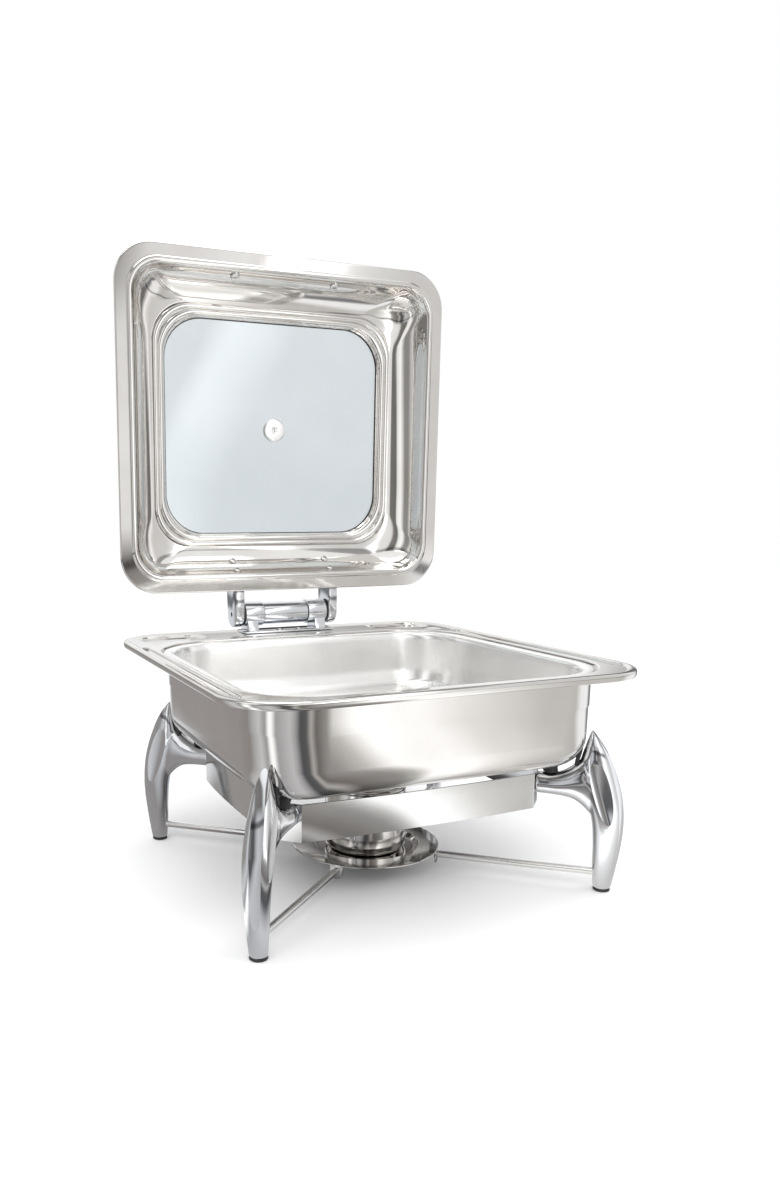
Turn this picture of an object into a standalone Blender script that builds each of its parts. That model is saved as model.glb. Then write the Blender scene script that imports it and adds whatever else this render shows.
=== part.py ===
"""Roll top chafer: a square water pan on a four-legged stand, with a hinged glass-window lid.

Run with: blender --background --python part.py
Units are metres. The lid's pieces are modelled shut, then turned open about the hinge axis.
"""

import math

import bmesh
import bpy
from mathutils import Matrix, Vector

MM = 0.001
GAP = 0.3 * MM
CORNER_STEPS = 6

# Y of the food pan's middle: the open lid leans out at the back, so the pan sits ahead of the origin.
PAN_Y = -31.9 * MM

# Stand
FOOT_X = 173.0 * MM
FOOT_Y = 148.0 * MM
PAD_RADIUS = 7.8 * MM
PAD_HEIGHT = 2.4 * MM
BAND_HALF_X = 136.5 * MM
BAND_HALF_Y = 111.5 * MM
BAND_CHAMFER = 17.0 * MM
BAND_BOW = 4.0 * MM
BAND_BOTTOM = 75.5 * MM
BAND_TOP = 109.0 * MM
BAND_WALL = 2.0 * MM
BRANCH_Z = 98.0 * MM
BOLT_RADIUS = 3.0 * MM
BRANCH_PAD_REACH = -51.0 * MM
BRANCH_PAD_BASE = 110.6 * MM
BRANCH_PAD_RADIUS = 6.5 * MM
FIN_PAD_CENTRE = (-27.4 * MM, 0, 126.2 * MM)
FIN_PAD_RADIUS = 2.0 * MM
FIN_PAD_LENGTH = 12.0 * MM
ROD_Z = 17.2 * MM
ROD_RADIUS = 3.4 * MM
ROD_START = 9.8 * MM
TRAY_RADIUS = 73.7 * MM
TRAY_TOP = 23.0 * MM
TRAY_WALL = 1.4 * MM
WELL_RADIUS = 52.5 * MM
WELL_DEPTH = 3.6 * MM
LUG_OFFSET = 72.0 * MM
LUG_SIZE = (2.0 * MM, 13.0 * MM, 13.0 * MM)

# Fuel holder
CUP_RADIUS = 40.5 * MM
CUP_HEIGHT = 62.0 * MM
CUP_WALL = 1.4 * MM
COVER_RADIUS = CUP_RADIUS - 0.6 * MM
COVER_THICK = 1.2 * MM
COVER_TAB = (14.0 * MM, 12.0 * MM)
EAR_SIZE = (12.0 * MM, 12.0 * MM, 1.6 * MM)
TONGUE_SIZE = (12.0 * MM, 16.0 * MM)
PIVOT_REACH = CUP_RADIUS + 4.5 * MM
PIVOT_HOLE = 2.3 * MM

# Water pan and food pan
RIM_HALF_X = 200.4 * MM
RIM_FRONT = PAN_Y - 183.2 * MM
RIM_BACK = PAN_Y + 230.0 * MM
RIM_CORNER = 58.0 * MM
RIM_TOP = 213.8 * MM
RIM_STEP = 1.6 * MM
PAN_WALL = 1.5 * MM
PAN_BOTTOM = 120.0 * MM
PAN_BEND = 28.0 * MM
FOOD_HALF_X = 177.0 * MM
FOOD_HALF_Y = 162.5 * MM
FOOD_TOP = 210.4 * MM
FOOD_DEPTH = 63.0 * MM
FOOD_WALL = 1.2 * MM

# Hinge
AXIS_Y = PAN_Y + 214.8 * MM
AXIS_Z = 232.9 * MM
PIN_RADIUS = 5.0 * MM
KNUCKLE_RADIUS = 14.5 * MM
KNUCKLE_IN = 28.0 * MM
KNUCKLE_OUT = 51.2 * MM
BARREL_RADIUS = 13.0 * MM
ARM_IN = 53.5 * MM
ARM_OUT = 64.3 * MM
ARM_END = 15.0 * MM
GRUB_RADIUS = 2.2 * MM
PLATE_HALF_X = 56.0 * MM
PLATE_FRONT = AXIS_Y - 24.0 * MM
PLATE_BACK = AXIS_Y + 6.0 * MM
PLATE_THICK = 2.2 * MM
PEDESTAL_X = 42.5 * MM
PEDESTAL_SIZE = (13.0 * MM, 22.0 * MM)
BASE_SCREW_X = 12.0 * MM
BASE_SCREW_Y = AXIS_Y - 18.6 * MM

# Lid, shut: half sizes of its flange, and heights above the flange's plane
LID_HALF_X = 196.1 * MM
LID_HALF_Y = 182.7 * MM
LID_CORNER = 41.7 * MM
LID_Y = PAN_Y + 3.3 * MM
LID_Z = 217.0 * MM
LID_WALL = 1.2 * MM
LID_OPEN = math.radians(89.2)
GLASS_INSET = 55.5 * MM
GLASS_BASE = 44.6 * MM
GLASS_THICK = 4.0 * MM
WINDOW_INSET = 62.9 * MM
WINDOW_CORNER = 45.6 * MM
VENT_RADIUS = 13.0 * MM
SCREW_X = 60.0 * MM
ARM_SCREW_X = 58.9 * MM
HANDLE_INSET = 3.0 * MM
HANDLE_RISE = 37.0 * MM
HANDLE_RADIUS = 4.5 * MM
HANDLE_HALF = SCREW_X + 14.0 * MM
POST_RADIUS = 4.2 * MM
WALL_SCREW_HOLE = 2.4 * MM

CORNERS = {
    "front_left": (-1, -1),
    "front_right": (1, -1),
    "back_left": (-1, 1),
    "back_right": (1, 1),
}
SIDES = {"left": -1, "right": 1}

MATERIALS = {
    "mirror_steel": ((0.62, 0.60, 0.57), 0.08, 1.0),
    "satin_steel": ((0.66, 0.65, 0.63), 0.30, 1.0),
    "cast_chrome": ((0.60, 0.62, 0.64), 0.12, 1.0),
    "black_rubber": ((0.02, 0.02, 0.02), 0.60, 0.0),
    "clear_glass": ((0.80, 0.84, 0.85), 0.05, 0.0),
    "brushed_steel": ((0.64, 0.64, 0.63), 0.22, 1.0),
}


# ---------------------------------------------------------------- scene and materials


def clear_scene():
    for obj in list(bpy.data.objects):
        bpy.data.objects.remove(obj, do_unlink=True)


def make_collection(name):
    found = bpy.data.collections.get(name)
    if found is None:
        found = bpy.data.collections.new(name)
        bpy.context.scene.collection.children.link(found)
    return found


def make_material(kind, name):
    colour, roughness, metallic = MATERIALS[kind]
    material = bpy.data.materials.new(name)
    material.use_nodes = True
    shader = material.node_tree.nodes["Principled BSDF"]
    shader.inputs["Base Color"].default_value = (*colour, 1.0)
    shader.inputs["Roughness"].default_value = roughness
    shader.inputs["Metallic"].default_value = metallic
    material.diffuse_color = (*colour, 1.0)
    return material


def add_part(name, mesh, kind, location=(0, 0, 0), turn_z=0.0, parent=None):
    """Give a mesh its named object, its material and its place."""
    obj = bpy.data.objects.new(name, mesh)
    make_collection("roll_top_chafer").objects.link(obj)
    obj.location = location
    obj.rotation_euler = (0, 0, turn_z)
    obj.parent = parent
    mesh.materials.append(make_material(kind, name + "_" + kind))
    return obj


def add_cutter(name, mesh, parent=None):
    cutter = bpy.data.objects.new(name, mesh)
    make_collection("cutters").objects.link(cutter)
    cutter.parent = parent
    cutter.hide_render = True
    cutter.display_type = "WIRE"
    return cutter


def cut(obj, cutter, operation="DIFFERENCE"):
    modifier = obj.modifiers.new(cutter.name, "BOOLEAN")
    modifier.operation = operation
    modifier.object = cutter
    return modifier


def finish(bm, name, smooth_angle=35.0):
    """Turn a bmesh into a mesh whose faces look outward and whose round faces are smooth."""
    bmesh.ops.recalc_face_normals(bm, faces=bm.faces[:])
    mesh = bpy.data.meshes.new(name)
    bm.to_mesh(mesh)
    bm.free()
    mesh.shade_smooth()
    mesh.set_sharp_from_angle(angle=math.radians(smooth_angle))
    return mesh


# ---------------------------------------------------------------- outlines and lofts


def rounded_rect(half_x, front, back, radius, z, steps=CORNER_STEPS):
    """Points of a rounded rectangle between y = front and y = back, anticlockwise from +X."""
    points = []
    corners = ((1, 1, 0), (-1, 1, 90), (-1, -1, 180), (1, -1, 270))
    for side_x, side_y, start in corners:
        centre_x = side_x * (half_x - radius)
        centre_y = back - radius if side_y > 0 else front + radius
        for step in range(steps + 1):
            angle = math.radians(start + 90 * step / steps)
            point = (centre_x + radius * math.cos(angle), centre_y + radius * math.sin(angle), z)
            points.append(Vector(point))
    return points


def ellipse(half_a, half_b, place, count=12):
    """Points of an ellipse, each placed by the function given."""
    points = []
    for step in range(count):
        angle = 2 * math.pi * step / count
        points.append(place(half_a * math.cos(angle), half_b * math.sin(angle)))
    return points


def loft(rings, cap_start=False, cap_end=False, close=False):
    """Bridge rings of equal length, one after another."""
    bm = bmesh.new()
    loops = [[bm.verts.new(point) for point in ring] for ring in rings]
    pairs = list(zip(loops, loops[1:]))
    if close:
        pairs.append((loops[-1], loops[0]))
    for lower, upper in pairs:
        count = len(lower)
        for i in range(count):
            after = (i + 1) % count
            bm.faces.new((lower[i], lower[after], upper[after], upper[i]))
    if cap_start:
        bm.faces.new(list(reversed(loops[0])))
    if cap_end:
        bm.faces.new(loops[-1])
    return bm


def add_shell(name, bm, kind, thickness, parent=None):
    """An open surface thickened evenly about its middle."""
    obj = add_part(name, finish(bm, name), kind, parent=parent)
    solidify = obj.modifiers.new("thickness", "SOLIDIFY")
    solidify.thickness = thickness
    solidify.offset = 0.0
    solidify.use_even_offset = True
    return obj


def cylinder(bm, radius, length, matrix, segments=24):
    """A closed cylinder along the local Z of the matrix, centred on its origin."""
    bmesh.ops.create_cone(bm, cap_ends=True, segments=segments, radius1=radius, radius2=radius,
                          depth=length, matrix=matrix)


def along(direction, centre):
    """A matrix whose local Z points along a direction."""
    turn = Vector(direction).to_track_quat("Z", "Y").to_matrix().to_4x4()
    return Matrix.Translation(centre) @ turn


def box(bm, size, centre):
    scale = Matrix.Diagonal((*size, 1.0))
    bmesh.ops.create_cube(bm, size=1.0, matrix=Matrix.Translation(centre) @ scale)


def turned(name, profile, kind, location, parent=None, steps=32):
    """A closed ring or disc from a profile of (radius, z) points turned about Z."""
    bm = bmesh.new()
    points = [bm.verts.new((radius, 0, z)) for radius, z in profile]
    for start, end in zip(points, points[1:]):
        bm.edges.new((start, end))
    if profile[0][0] > 0:
        bm.edges.new((points[-1], points[0]))
    mesh = bpy.data.meshes.new(name)
    bm.to_mesh(mesh)
    bm.free()
    obj = add_part(name, mesh, kind, location, parent=parent)
    screw = obj.modifiers.new("turn", "SCREW")
    screw.steps = steps
    screw.render_steps = steps
    screw.use_merge_vertices = True
    screw.merge_threshold = 0.01 * MM
    return obj


def make_screw(name, seat, direction, head, shank, kind, parent=None):
    """A round-headed screw: its shank points along the direction from the seat, sizes in millimetres."""
    head_radius, head_length = (size * MM for size in head)
    shank_radius, shank_length = (size * MM for size in shank)
    profile = (
        (0.0, shank_length),
        (shank_radius, shank_length),
        (shank_radius, 0.0),
        (head_radius, 0.0),
        (head_radius * 0.7, -head_length),
        (0.0, -head_length),
    )
    screw = turned(name, profile, kind, seat, parent, 14)
    screw.rotation_euler = Vector(direction).to_track_quat("Z", "Y").to_euler()
    return screw


def add_tube(name, inner, outer, start, end, kind, parent=None, segments=28):
    """A hollow cylinder along X, in place on the hinge axis."""
    rings = []
    for radius, x in ((inner, start), (outer, start), (outer, end), (inner, end)):
        rings.append(ellipse(radius, radius, lambda a, b, x=x: Vector((x, a, b)), segments))
    mesh = finish(loft(rings, close=True), name)
    return add_part(name, mesh, kind, (0, AXIS_Y, AXIS_Z), parent=parent)


# ---------------------------------------------------------------- stand


def leg_frame(side_x, side_y):
    """Place and turn of a leg: its local X points out along the corner's diagonal."""
    location = Vector((side_x * FOOT_X, PAN_Y + side_y * FOOT_Y, 0))
    return location, math.atan2(side_y, side_x)


def leg_sections():
    """Rings up the leg and fin: height, inner and outer reach from the foot's axis, half width."""
    shape = (
        (2.7, -8.0, 8.2, 8.0),
        (17, -9.2, 10.8, 8.8),
        (45, -10.3, 15.0, 10.2),
        (66, -12.3, 16.5, 11.4),
        (88, -19.0, 14.6, 12.4),
        (107, -25.5, 10.2, 12.4),
        (122, -26.0, 4.6, 10.8),
        (135, -21.5, -1.0, 8.4),
        (146, -18.6, -8.0, 5.0),
        (153, -15.8, -12.4, 1.6),
    )
    rings = []
    for height, inner, outer, half_width in shape:
        middle = (inner + outer) / 2 * MM
        half = (outer - inner) / 2 * MM

        def place(a, b, middle=middle, z=height * MM):
            return Vector((middle + a, b, z))

        rings.append(ellipse(half, half_width * MM, place, 14))
    return rings


def branch_sections():
    """Rings out along the branch: reach from the foot's axis, lower and upper height, half width."""
    to_facet = (FOOT_X - BAND_HALF_X + FOOT_Y - BAND_HALF_Y + BAND_CHAMFER) / math.sqrt(2)
    shape = (
        ((GAP - to_facet) / MM, 88.0, 108.5, 8.5),
        (-50, 87.6, 108.6, 8.6),
        (-42, 87.2, 110.8, 9.0),
        (-34, 86.6, 115.4, 9.8),
        (-27, 84.6, 121.6, 10.6),
        (-20, 79.6, 128.0, 10.8),
        (-12, 74.0, 122.0, 9.0),
        (-6, 80.0, 110.0, 6.0),
    )
    rings = []
    for reach, low, high, half_width in shape:
        middle = (low + high) / 2 * MM
        half = (high - low) / 2 * MM

        def place(a, b, middle=middle, x=reach * MM):
            return Vector((x, a, middle + b))

        rings.append(ellipse(half_width * MM, half, place, 14))
    return rings


def make_bolt_hole():
    """Bolt hole into the branch's end, in the leg's own frame."""
    bm = bmesh.new()
    cylinder(bm, BOLT_RADIUS + GAP, 30 * MM, along((1, 0, 0), (-63 * MM, 0, BRANCH_Z)), 16)
    return finish(bm, "bolt_hole")


def make_legs(stand):
    leg_mesh = finish(loft(leg_sections(), True, True), "leg", 60)
    branch_mesh = finish(loft(branch_sections(), True, True), "branch")
    hole_mesh = make_bolt_hole()
    for corner, (side_x, side_y) in CORNERS.items():
        location, turn = leg_frame(side_x, side_y)
        leg = add_part("leg_" + corner, leg_mesh.copy(), "cast_chrome", location, turn, stand)
        steps = (("branch", branch_mesh, "UNION"), ("hole", hole_mesh, "DIFFERENCE"))
        for kind, mesh, operation in steps:
            tool = add_cutter(f"{kind}_{corner}", mesh, stand)
            tool.location = location
            tool.rotation_euler = (0, 0, turn)
            cut(leg, tool, operation)
        make_pads(corner, location, turn, stand)


def make_pads(corner, location, turn, stand):
    """The foot's pad, and the two pads that the water pan's corner rests on."""
    foot = bmesh.new()
    cylinder(foot, PAD_RADIUS, PAD_HEIGHT, Matrix.Translation((0, 0, PAD_HEIGHT / 2)), 20)
    rest = bmesh.new()
    height = PAN_BOTTOM - GAP - BRANCH_PAD_BASE
    centre = (BRANCH_PAD_REACH, 0, BRANCH_PAD_BASE + height / 2)
    cylinder(rest, BRANCH_PAD_RADIUS, height, Matrix.Translation(centre), 18)
    fin = bmesh.new()
    cylinder(fin, FIN_PAD_RADIUS, FIN_PAD_LENGTH, along((0, 1, 0), FIN_PAD_CENTRE), 16)
    for kind, bm in (("foot_pad", foot), ("branch_pad", rest), ("fin_pad", fin)):
        add_part(f"{kind}_{corner}", finish(bm, kind), "black_rubber", location, turn, stand)


def band_outline(offset):
    """The band's plan: four bowed sides between four corner facets, pushed inward by an offset."""
    points = []
    half_x = BAND_HALF_X - offset
    half_y = BAND_HALF_Y - offset
    chamfer = BAND_CHAMFER - offset * (2 - math.sqrt(2))
    sides = (
        ((half_x, -half_y + chamfer), (half_x, half_y - chamfer), (1, 0)),
        ((half_x - chamfer, half_y), (-half_x + chamfer, half_y), (0, 1)),
        ((-half_x, half_y - chamfer), (-half_x, -half_y + chamfer), (-1, 0)),
        ((-half_x + chamfer, -half_y), (half_x - chamfer, -half_y), (0, -1)),
    )
    bow_steps = 8
    for start, end, out in sides:
        for step in range(bow_steps + 1):
            t = step / bow_steps
            bow = 4 * BAND_BOW * t * (1 - t)
            x = start[0] + (end[0] - start[0]) * t + out[0] * bow
            y = start[1] + (end[1] - start[1]) * t + out[1] * bow
            points.append((x, y + PAN_Y))
    return points


def make_band(stand):
    rings = []
    section = ((BAND_WALL, BAND_BOTTOM), (0, BAND_BOTTOM), (0, BAND_TOP), (BAND_WALL, BAND_TOP))
    for offset, z in section:
        rings.append([Vector((x, y, z)) for x, y in band_outline(offset)])
    mesh = finish(loft(rings, close=True), "apron_band")
    band = add_part("apron_band", mesh, "brushed_steel", parent=stand)
    holes = bmesh.new()
    for corner, (side_x, side_y) in CORNERS.items():
        out = Vector((side_x, side_y, 0)).normalized()
        half = BAND_CHAMFER / 2
        facet = Vector((side_x * (BAND_HALF_X - half), side_y * (BAND_HALF_Y - half), BRANCH_Z))
        facet.y += PAN_Y
        cylinder(holes, BOLT_RADIUS + GAP, 12 * MM, along(out, facet), 16)
        seat = facet - out * (BAND_WALL + GAP)
        make_screw("leg_bolt_" + corner, seat, out, (5.5, 3.2), (3.0, 13.0), "mirror_steel", stand)
    cut(band, add_cutter("band_holes", finish(holes, "band_holes"), stand))


def make_stays(stand):
    """Four rods from the legs to ears under the tray's edge."""
    for corner, (side_x, side_y) in CORNERS.items():
        location, turn = leg_frame(side_x, side_y)
        centre = Vector((0, PAN_Y, 0))
        foot = location
        inward = (centre - foot).normalized()
        lug_at = centre - inward * LUG_OFFSET
        start = foot + inward * ROD_START
        end = lug_at - inward * (LUG_SIZE[0] / 2 + GAP)
        span = end - start
        rod = bmesh.new()
        middle = (start + end) / 2 + Vector((0, 0, ROD_Z))
        cylinder(rod, ROD_RADIUS, span.length, along(span, middle), 16)
        add_part("stay_rod_" + corner, finish(rod, "stay_rod"), "satin_steel", parent=stand)
        make_lug(corner, lug_at, inward, stand)


def make_lug(corner, lug_at, inward, stand):
    """A small flat ear with a round lower end, hanging under the tray."""
    thick, wide, tall = LUG_SIZE
    top = TRAY_TOP - TRAY_WALL - GAP
    radius = wide / 2
    steps = 8
    outline = [(radius, top), (-radius, top)]
    for step in range(steps + 1):
        angle = math.pi + math.pi * step / steps
        outline.append((radius * math.cos(angle), top - tall + radius + radius * math.sin(angle)))
    rings = []
    for x in (-thick / 2, thick / 2):
        rings.append([Vector((x, y, z)) for y, z in outline])
    lug = finish(loft(rings, True, True), "tray_lug")
    turn = math.atan2(inward.y, inward.x)
    add_part("tray_lug_" + corner, lug, "mirror_steel", lug_at, turn, stand)


def make_tray(stand):
    """A round tray with a flat brim and a shallow well."""
    floor = TRAY_TOP - WELL_DEPTH
    profile = (
        (0.0, floor),
        (WELL_RADIUS - 5 * MM, floor),
        (WELL_RADIUS, TRAY_TOP),
        (TRAY_RADIUS - 1 * MM, TRAY_TOP),
        (TRAY_RADIUS, TRAY_TOP - 0.7 * MM),
        (TRAY_RADIUS, TRAY_TOP - TRAY_WALL),
        (WELL_RADIUS + 1 * MM, TRAY_TOP - TRAY_WALL),
        (WELL_RADIUS - 4 * MM, floor - TRAY_WALL),
        (0.0, floor - TRAY_WALL),
    )
    turned("fuel_tray", profile, "mirror_steel", (0, PAN_Y, 0), stand, 48)


def make_fuel_holder(parent):
    """The cup in the tray's well, its cover and the rivet that the cover swings on."""
    base = TRAY_TOP - WELL_DEPTH + GAP
    top = base + CUP_HEIGHT
    inner = CUP_RADIUS - CUP_WALL
    cup = (
        (0.0, base + CUP_WALL),
        (inner - 3 * MM, base + CUP_WALL),
        (inner, base + CUP_WALL + 3 * MM),
        (inner, top),
        (CUP_RADIUS, top),
        (CUP_RADIUS, base + 4 * MM),
        (CUP_RADIUS - 4 * MM, base),
        (0.0, base),
    )
    holder = turned("fuel_cup", cup, "mirror_steel", (0, PAN_Y, 0), parent, 40)
    make_cover(holder, parent, top)


def make_cover(cup, parent, cup_top):
    """A flat disc with a push tab, swung aside about a rivet in an ear on the cup's edge."""
    pivot = Vector((0, PAN_Y + PIVOT_REACH, cup_top))
    ear = bmesh.new()
    box(ear, EAR_SIZE, pivot + Vector((0, -0.5 * MM, -EAR_SIZE[2] / 2)))
    hole = bmesh.new()
    cylinder(hole, PIVOT_HOLE, 20 * MM, Matrix.Translation(pivot), 12)
    cut(cup, add_cutter("cup_ear", finish(ear, "cup_ear"), parent), "UNION")
    cut(cup, add_cutter("cup_hole", finish(hole, "cup_hole"), parent))
    seat = pivot + Vector((0, 0, 2 * GAP + COVER_THICK))
    make_screw("cover_pivot", seat, (0, 0, -1), (4.0, 1.8), (2.0, 4.0), "mirror_steel", parent)
    axis = bpy.data.objects.new("cover_axis", None)
    make_collection("roll_top_chafer").objects.link(axis)
    axis.location = pivot
    axis.parent = parent
    disc = bmesh.new()
    centre = Vector((0, -PIVOT_REACH, GAP + COVER_THICK / 2))
    cylinder(disc, COVER_RADIUS, COVER_THICK, Matrix.Translation(centre), 40)
    cover = add_part("cup_cover", finish(disc, "cup_cover"), "mirror_steel", parent=axis)
    tabs = bmesh.new()
    box(tabs, (*TONGUE_SIZE, COVER_THICK), (0, -2.5 * MM, centre.z))
    box(tabs, (*COVER_TAB, COVER_THICK), (0, centre.y - COVER_RADIUS - 1.6 * MM, centre.z))
    cut(cover, add_cutter("cover_tabs", finish(tabs, "cover_tabs"), axis), "UNION")
    hole = bmesh.new()
    cylinder(hole, PIVOT_HOLE, 10 * MM, Matrix.Identity(4), 12)
    cut(cover, add_cutter("cover_hole", finish(hole, "cover_hole"), axis))


# ---------------------------------------------------------------- pans


def make_water_pan(parent):
    """A deep pan whose wide rim carries the food pan in front and the hinge behind."""
    half = PAN_WALL / 2
    wall_x = 171.3 * MM
    wall_y = 156.3 * MM
    top = RIM_TOP - half

    def rim(inset, z):
        radius = RIM_CORNER - inset
        return rounded_rect(RIM_HALF_X - inset, RIM_FRONT + inset, RIM_BACK - inset, radius, z)

    def inside(half_x, half_y, radius, z):
        return rounded_rect(half_x, PAN_Y - half_y, PAN_Y + half_y, radius, z)

    rings = [
        rim(half, top - 6.0 * MM),
        rim(half, top - 1.6 * MM),
        rim(half + 1.6 * MM, top),
        rim(5.0 * MM, top),
        rim(7.0 * MM, top - RIM_STEP),
        inside(179.6 * MM, 165.1 * MM, 70 * MM, top - RIM_STEP),
        inside(178.6 * MM, 164.1 * MM, 69 * MM, FOOD_TOP - FOOD_WALL - GAP - half),
        inside(wall_x + 2 * MM, wall_y + 2 * MM, 58 * MM, FOOD_TOP - FOOD_WALL - GAP - half),
        inside(wall_x, wall_y, 56 * MM, FOOD_TOP - FOOD_WALL - 3.5 * MM),
        inside(wall_x - 2.5 * MM, wall_y - 2.5 * MM, 53 * MM, PAN_BOTTOM + PAN_BEND),
    ]
    bend = PAN_BEND - half
    for degrees in (25, 50, 75, 90):
        angle = math.radians(degrees)
        inset = bend * (1 - math.cos(angle))
        z = PAN_BOTTOM + PAN_BEND - bend * math.sin(angle)
        rings.append(inside(wall_x - 2.5 * MM - inset, wall_y - 2.5 * MM - inset, 53 * MM - inset, z))
    add_shell("water_pan", loft(rings, cap_end=True), "mirror_steel", PAN_WALL, parent)


def make_food_pan(parent):
    half = FOOD_WALL / 2
    top = FOOD_TOP - half

    def ring(inset, radius, z):
        return rounded_rect(FOOD_HALF_X - inset, PAN_Y - FOOD_HALF_Y + inset,
                            PAN_Y + FOOD_HALF_Y - inset, radius, z)

    depth = FOOD_DEPTH - FOOD_WALL
    rings = [
        ring(half, 67 * MM, top),
        ring(9.0 * MM, 60 * MM, top),
        ring(11.4 * MM, 57 * MM, top - 2.2 * MM),
        ring(15.0 * MM, 52 * MM, top - depth + 16 * MM),
        ring(17.5 * MM, 48 * MM, top - depth + 7 * MM),
        ring(24.0 * MM, 42 * MM, top - depth + 1.4 * MM),
        ring(32.0 * MM, 36 * MM, top - depth),
    ]
    add_shell("food_pan", loft(rings, cap_end=True), "satin_steel", FOOD_WALL, parent)


# ---------------------------------------------------------------- hinge


def make_hinge_base(parent):
    """A plate screwed to the rim, with a pedestal and a knuckle at each end."""
    plate_z = RIM_TOP - RIM_STEP + GAP
    plate = bmesh.new()
    box(plate, (2 * PLATE_HALF_X, PLATE_BACK - PLATE_FRONT, PLATE_THICK),
        (0, (PLATE_FRONT + PLATE_BACK) / 2, plate_z + PLATE_THICK / 2))
    base = add_part("hinge_base", finish(plate, "hinge_base"), "cast_chrome", parent=parent)
    pedestals = bmesh.new()
    knuckles = bmesh.new()
    holes = bmesh.new()
    for side in SIDES.values():
        middle = side * (KNUCKLE_IN + KNUCKLE_OUT) / 2
        wide = KNUCKLE_OUT - KNUCKLE_IN
        foot_z = plate_z + PLATE_THICK / 2
        centre = (side * PEDESTAL_X, AXIS_Y - 3 * MM, (AXIS_Z + foot_z) / 2)
        box(pedestals, (*PEDESTAL_SIZE, AXIS_Z - foot_z), centre)
        cylinder(knuckles, KNUCKLE_RADIUS, wide, along((1, 0, 0), (middle, AXIS_Y, AXIS_Z)), 32)
    cylinder(holes, PIN_RADIUS + GAP, 130 * MM, along((1, 0, 0), (0, AXIS_Y, AXIS_Z)), 20)
    for side_name, side in SIDES.items():
        seat = Vector((side * BASE_SCREW_X, BASE_SCREW_Y, plate_z + PLATE_THICK + GAP))
        cylinder(holes, 2.3 * MM, 20 * MM, Matrix.Translation(seat), 12)
        make_screw("base_screw_" + side_name, seat, (0, 0, -1), (3.8, 1.8), (2.0, 2.2),
                   "mirror_steel", parent)
    cut(base, add_cutter("hinge_pedestals", finish(pedestals, "hinge_pedestals"), parent), "UNION")
    cut(base, add_cutter("hinge_knuckles", finish(knuckles, "hinge_knuckles"), parent), "UNION")
    cut(base, add_cutter("hinge_bore", finish(holes, "hinge_bore"), parent))
    add_tube("hinge_barrel", PIN_RADIUS + GAP, BARREL_RADIUS, -KNUCKLE_IN + GAP, KNUCKLE_IN - GAP,
             "cast_chrome", parent)


def make_hinge_pin(lid):
    pin = bmesh.new()
    cylinder(pin, PIN_RADIUS, 2 * (ARM_IN - GAP), along((1, 0, 0), (0, 0, 0)), 20)
    add_part("hinge_pin", finish(pin, "hinge_pin"), "mirror_steel", parent=lid)
    for side_name, side in SIDES.items():
        washer = add_tube("hinge_washer_" + side_name, PIN_RADIUS + GAP, BARREL_RADIUS,
                          side * (KNUCKLE_OUT + GAP), side * (ARM_IN - GAP), "black_rubber")
        washer.location = (0, 0, 0)
        washer.parent = lid
        grub = bmesh.new()
        length = ARM_OUT - ARM_IN - 1 * MM
        cylinder(grub, GRUB_RADIUS, length, along((1, 0, 0), (side * (ARM_IN + ARM_OUT) / 2, 0, 0)), 14)
        add_part("grub_screw_" + side_name, finish(grub, "grub_screw"), "black_rubber", parent=lid)


# ---------------------------------------------------------------- lid


def lid_ring(inset, height, radius):
    """One ring of the lid, shut: inset from the flange's edge, height above the flange's plane."""
    return rounded_rect(LID_HALF_X - inset, LID_Y - LID_HALF_Y + inset, LID_Y + LID_HALF_Y - inset,
                        radius, LID_Z + height)


def make_lid_shell(lid):
    """Flange, bead, dome and window frame as one pressed sheet."""
    profile = (
        (0.0, 0.0, LID_CORNER),
        (13.0, 0.0, 36.0 * MM),
        (14.6, -1.4, 35.0 * MM),
        (17.4, -1.4, 34.0 * MM),
        (19.0, 1.2, 33.0 * MM),
        (20.5, 8.0, 33.0 * MM),
        (23.5, 16.0, 34.0 * MM),
        (28.5, 24.0, 36.0 * MM),
        (35.5, 31.5, 38.0 * MM),
        (43.5, 36.8, 41.0 * MM),
        (50.0, 39.4, 43.0 * MM),
        (53.0, 37.6, 44.0 * MM),
        (57.0, 37.6, 45.0 * MM),
        (60.0, 42.4, 45.6 * MM),
        (62.9, 42.8, 45.6 * MM),
    )
    rings = [lid_ring(inset * MM, height * MM, radius) for inset, height, radius in profile]
    bm = loft(rings)
    shell = add_shell("lid_shell", bm, "mirror_steel", LID_WALL)
    place_on_lid(shell, lid)
    holes = bmesh.new()
    for spot, normal in wall_screws().values():
        cylinder(holes, WALL_SCREW_HOLE, 14 * MM, along(normal, spot), 12)
    cutter = add_cutter("lid_holes", finish(holes, "lid_holes"))
    place_on_lid(cutter, lid)
    cut(shell, cutter)


def wall_screws():
    """Spots and outward directions on the dome's wall, shut: two in front, four behind."""
    front = LID_Y - LID_HALF_Y
    back = LID_Y + LID_HALF_Y
    steep = (22.0 * MM, LID_Z + 12.0 * MM, Vector((0, 0.936, 0.351)))
    sloped = (32.0 * MM, LID_Z + 27.75 * MM, Vector((0, 0.731, 0.682)))
    spots = {}
    for side_name, side in SIDES.items():
        inset, height, normal = steep
        forward = Vector((0, -normal.y, normal.z))
        spots["handle_screw_" + side_name] = (Vector((side * SCREW_X, front + inset, height)), forward)
        for level, (inset, height, normal) in (("lower", steep), ("upper", sloped)):
            spot = Vector((side * ARM_SCREW_X, back - inset, height))
            spots[f"arm_rivet_{side_name}_{level}"] = (spot, normal)
    return spots


def place_on_lid(obj, lid):
    """Hang an object that was modelled in place, shut, on the lid's axis."""
    obj.parent = lid
    obj.location = (0, -AXIS_Y, -AXIS_Z)


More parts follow.
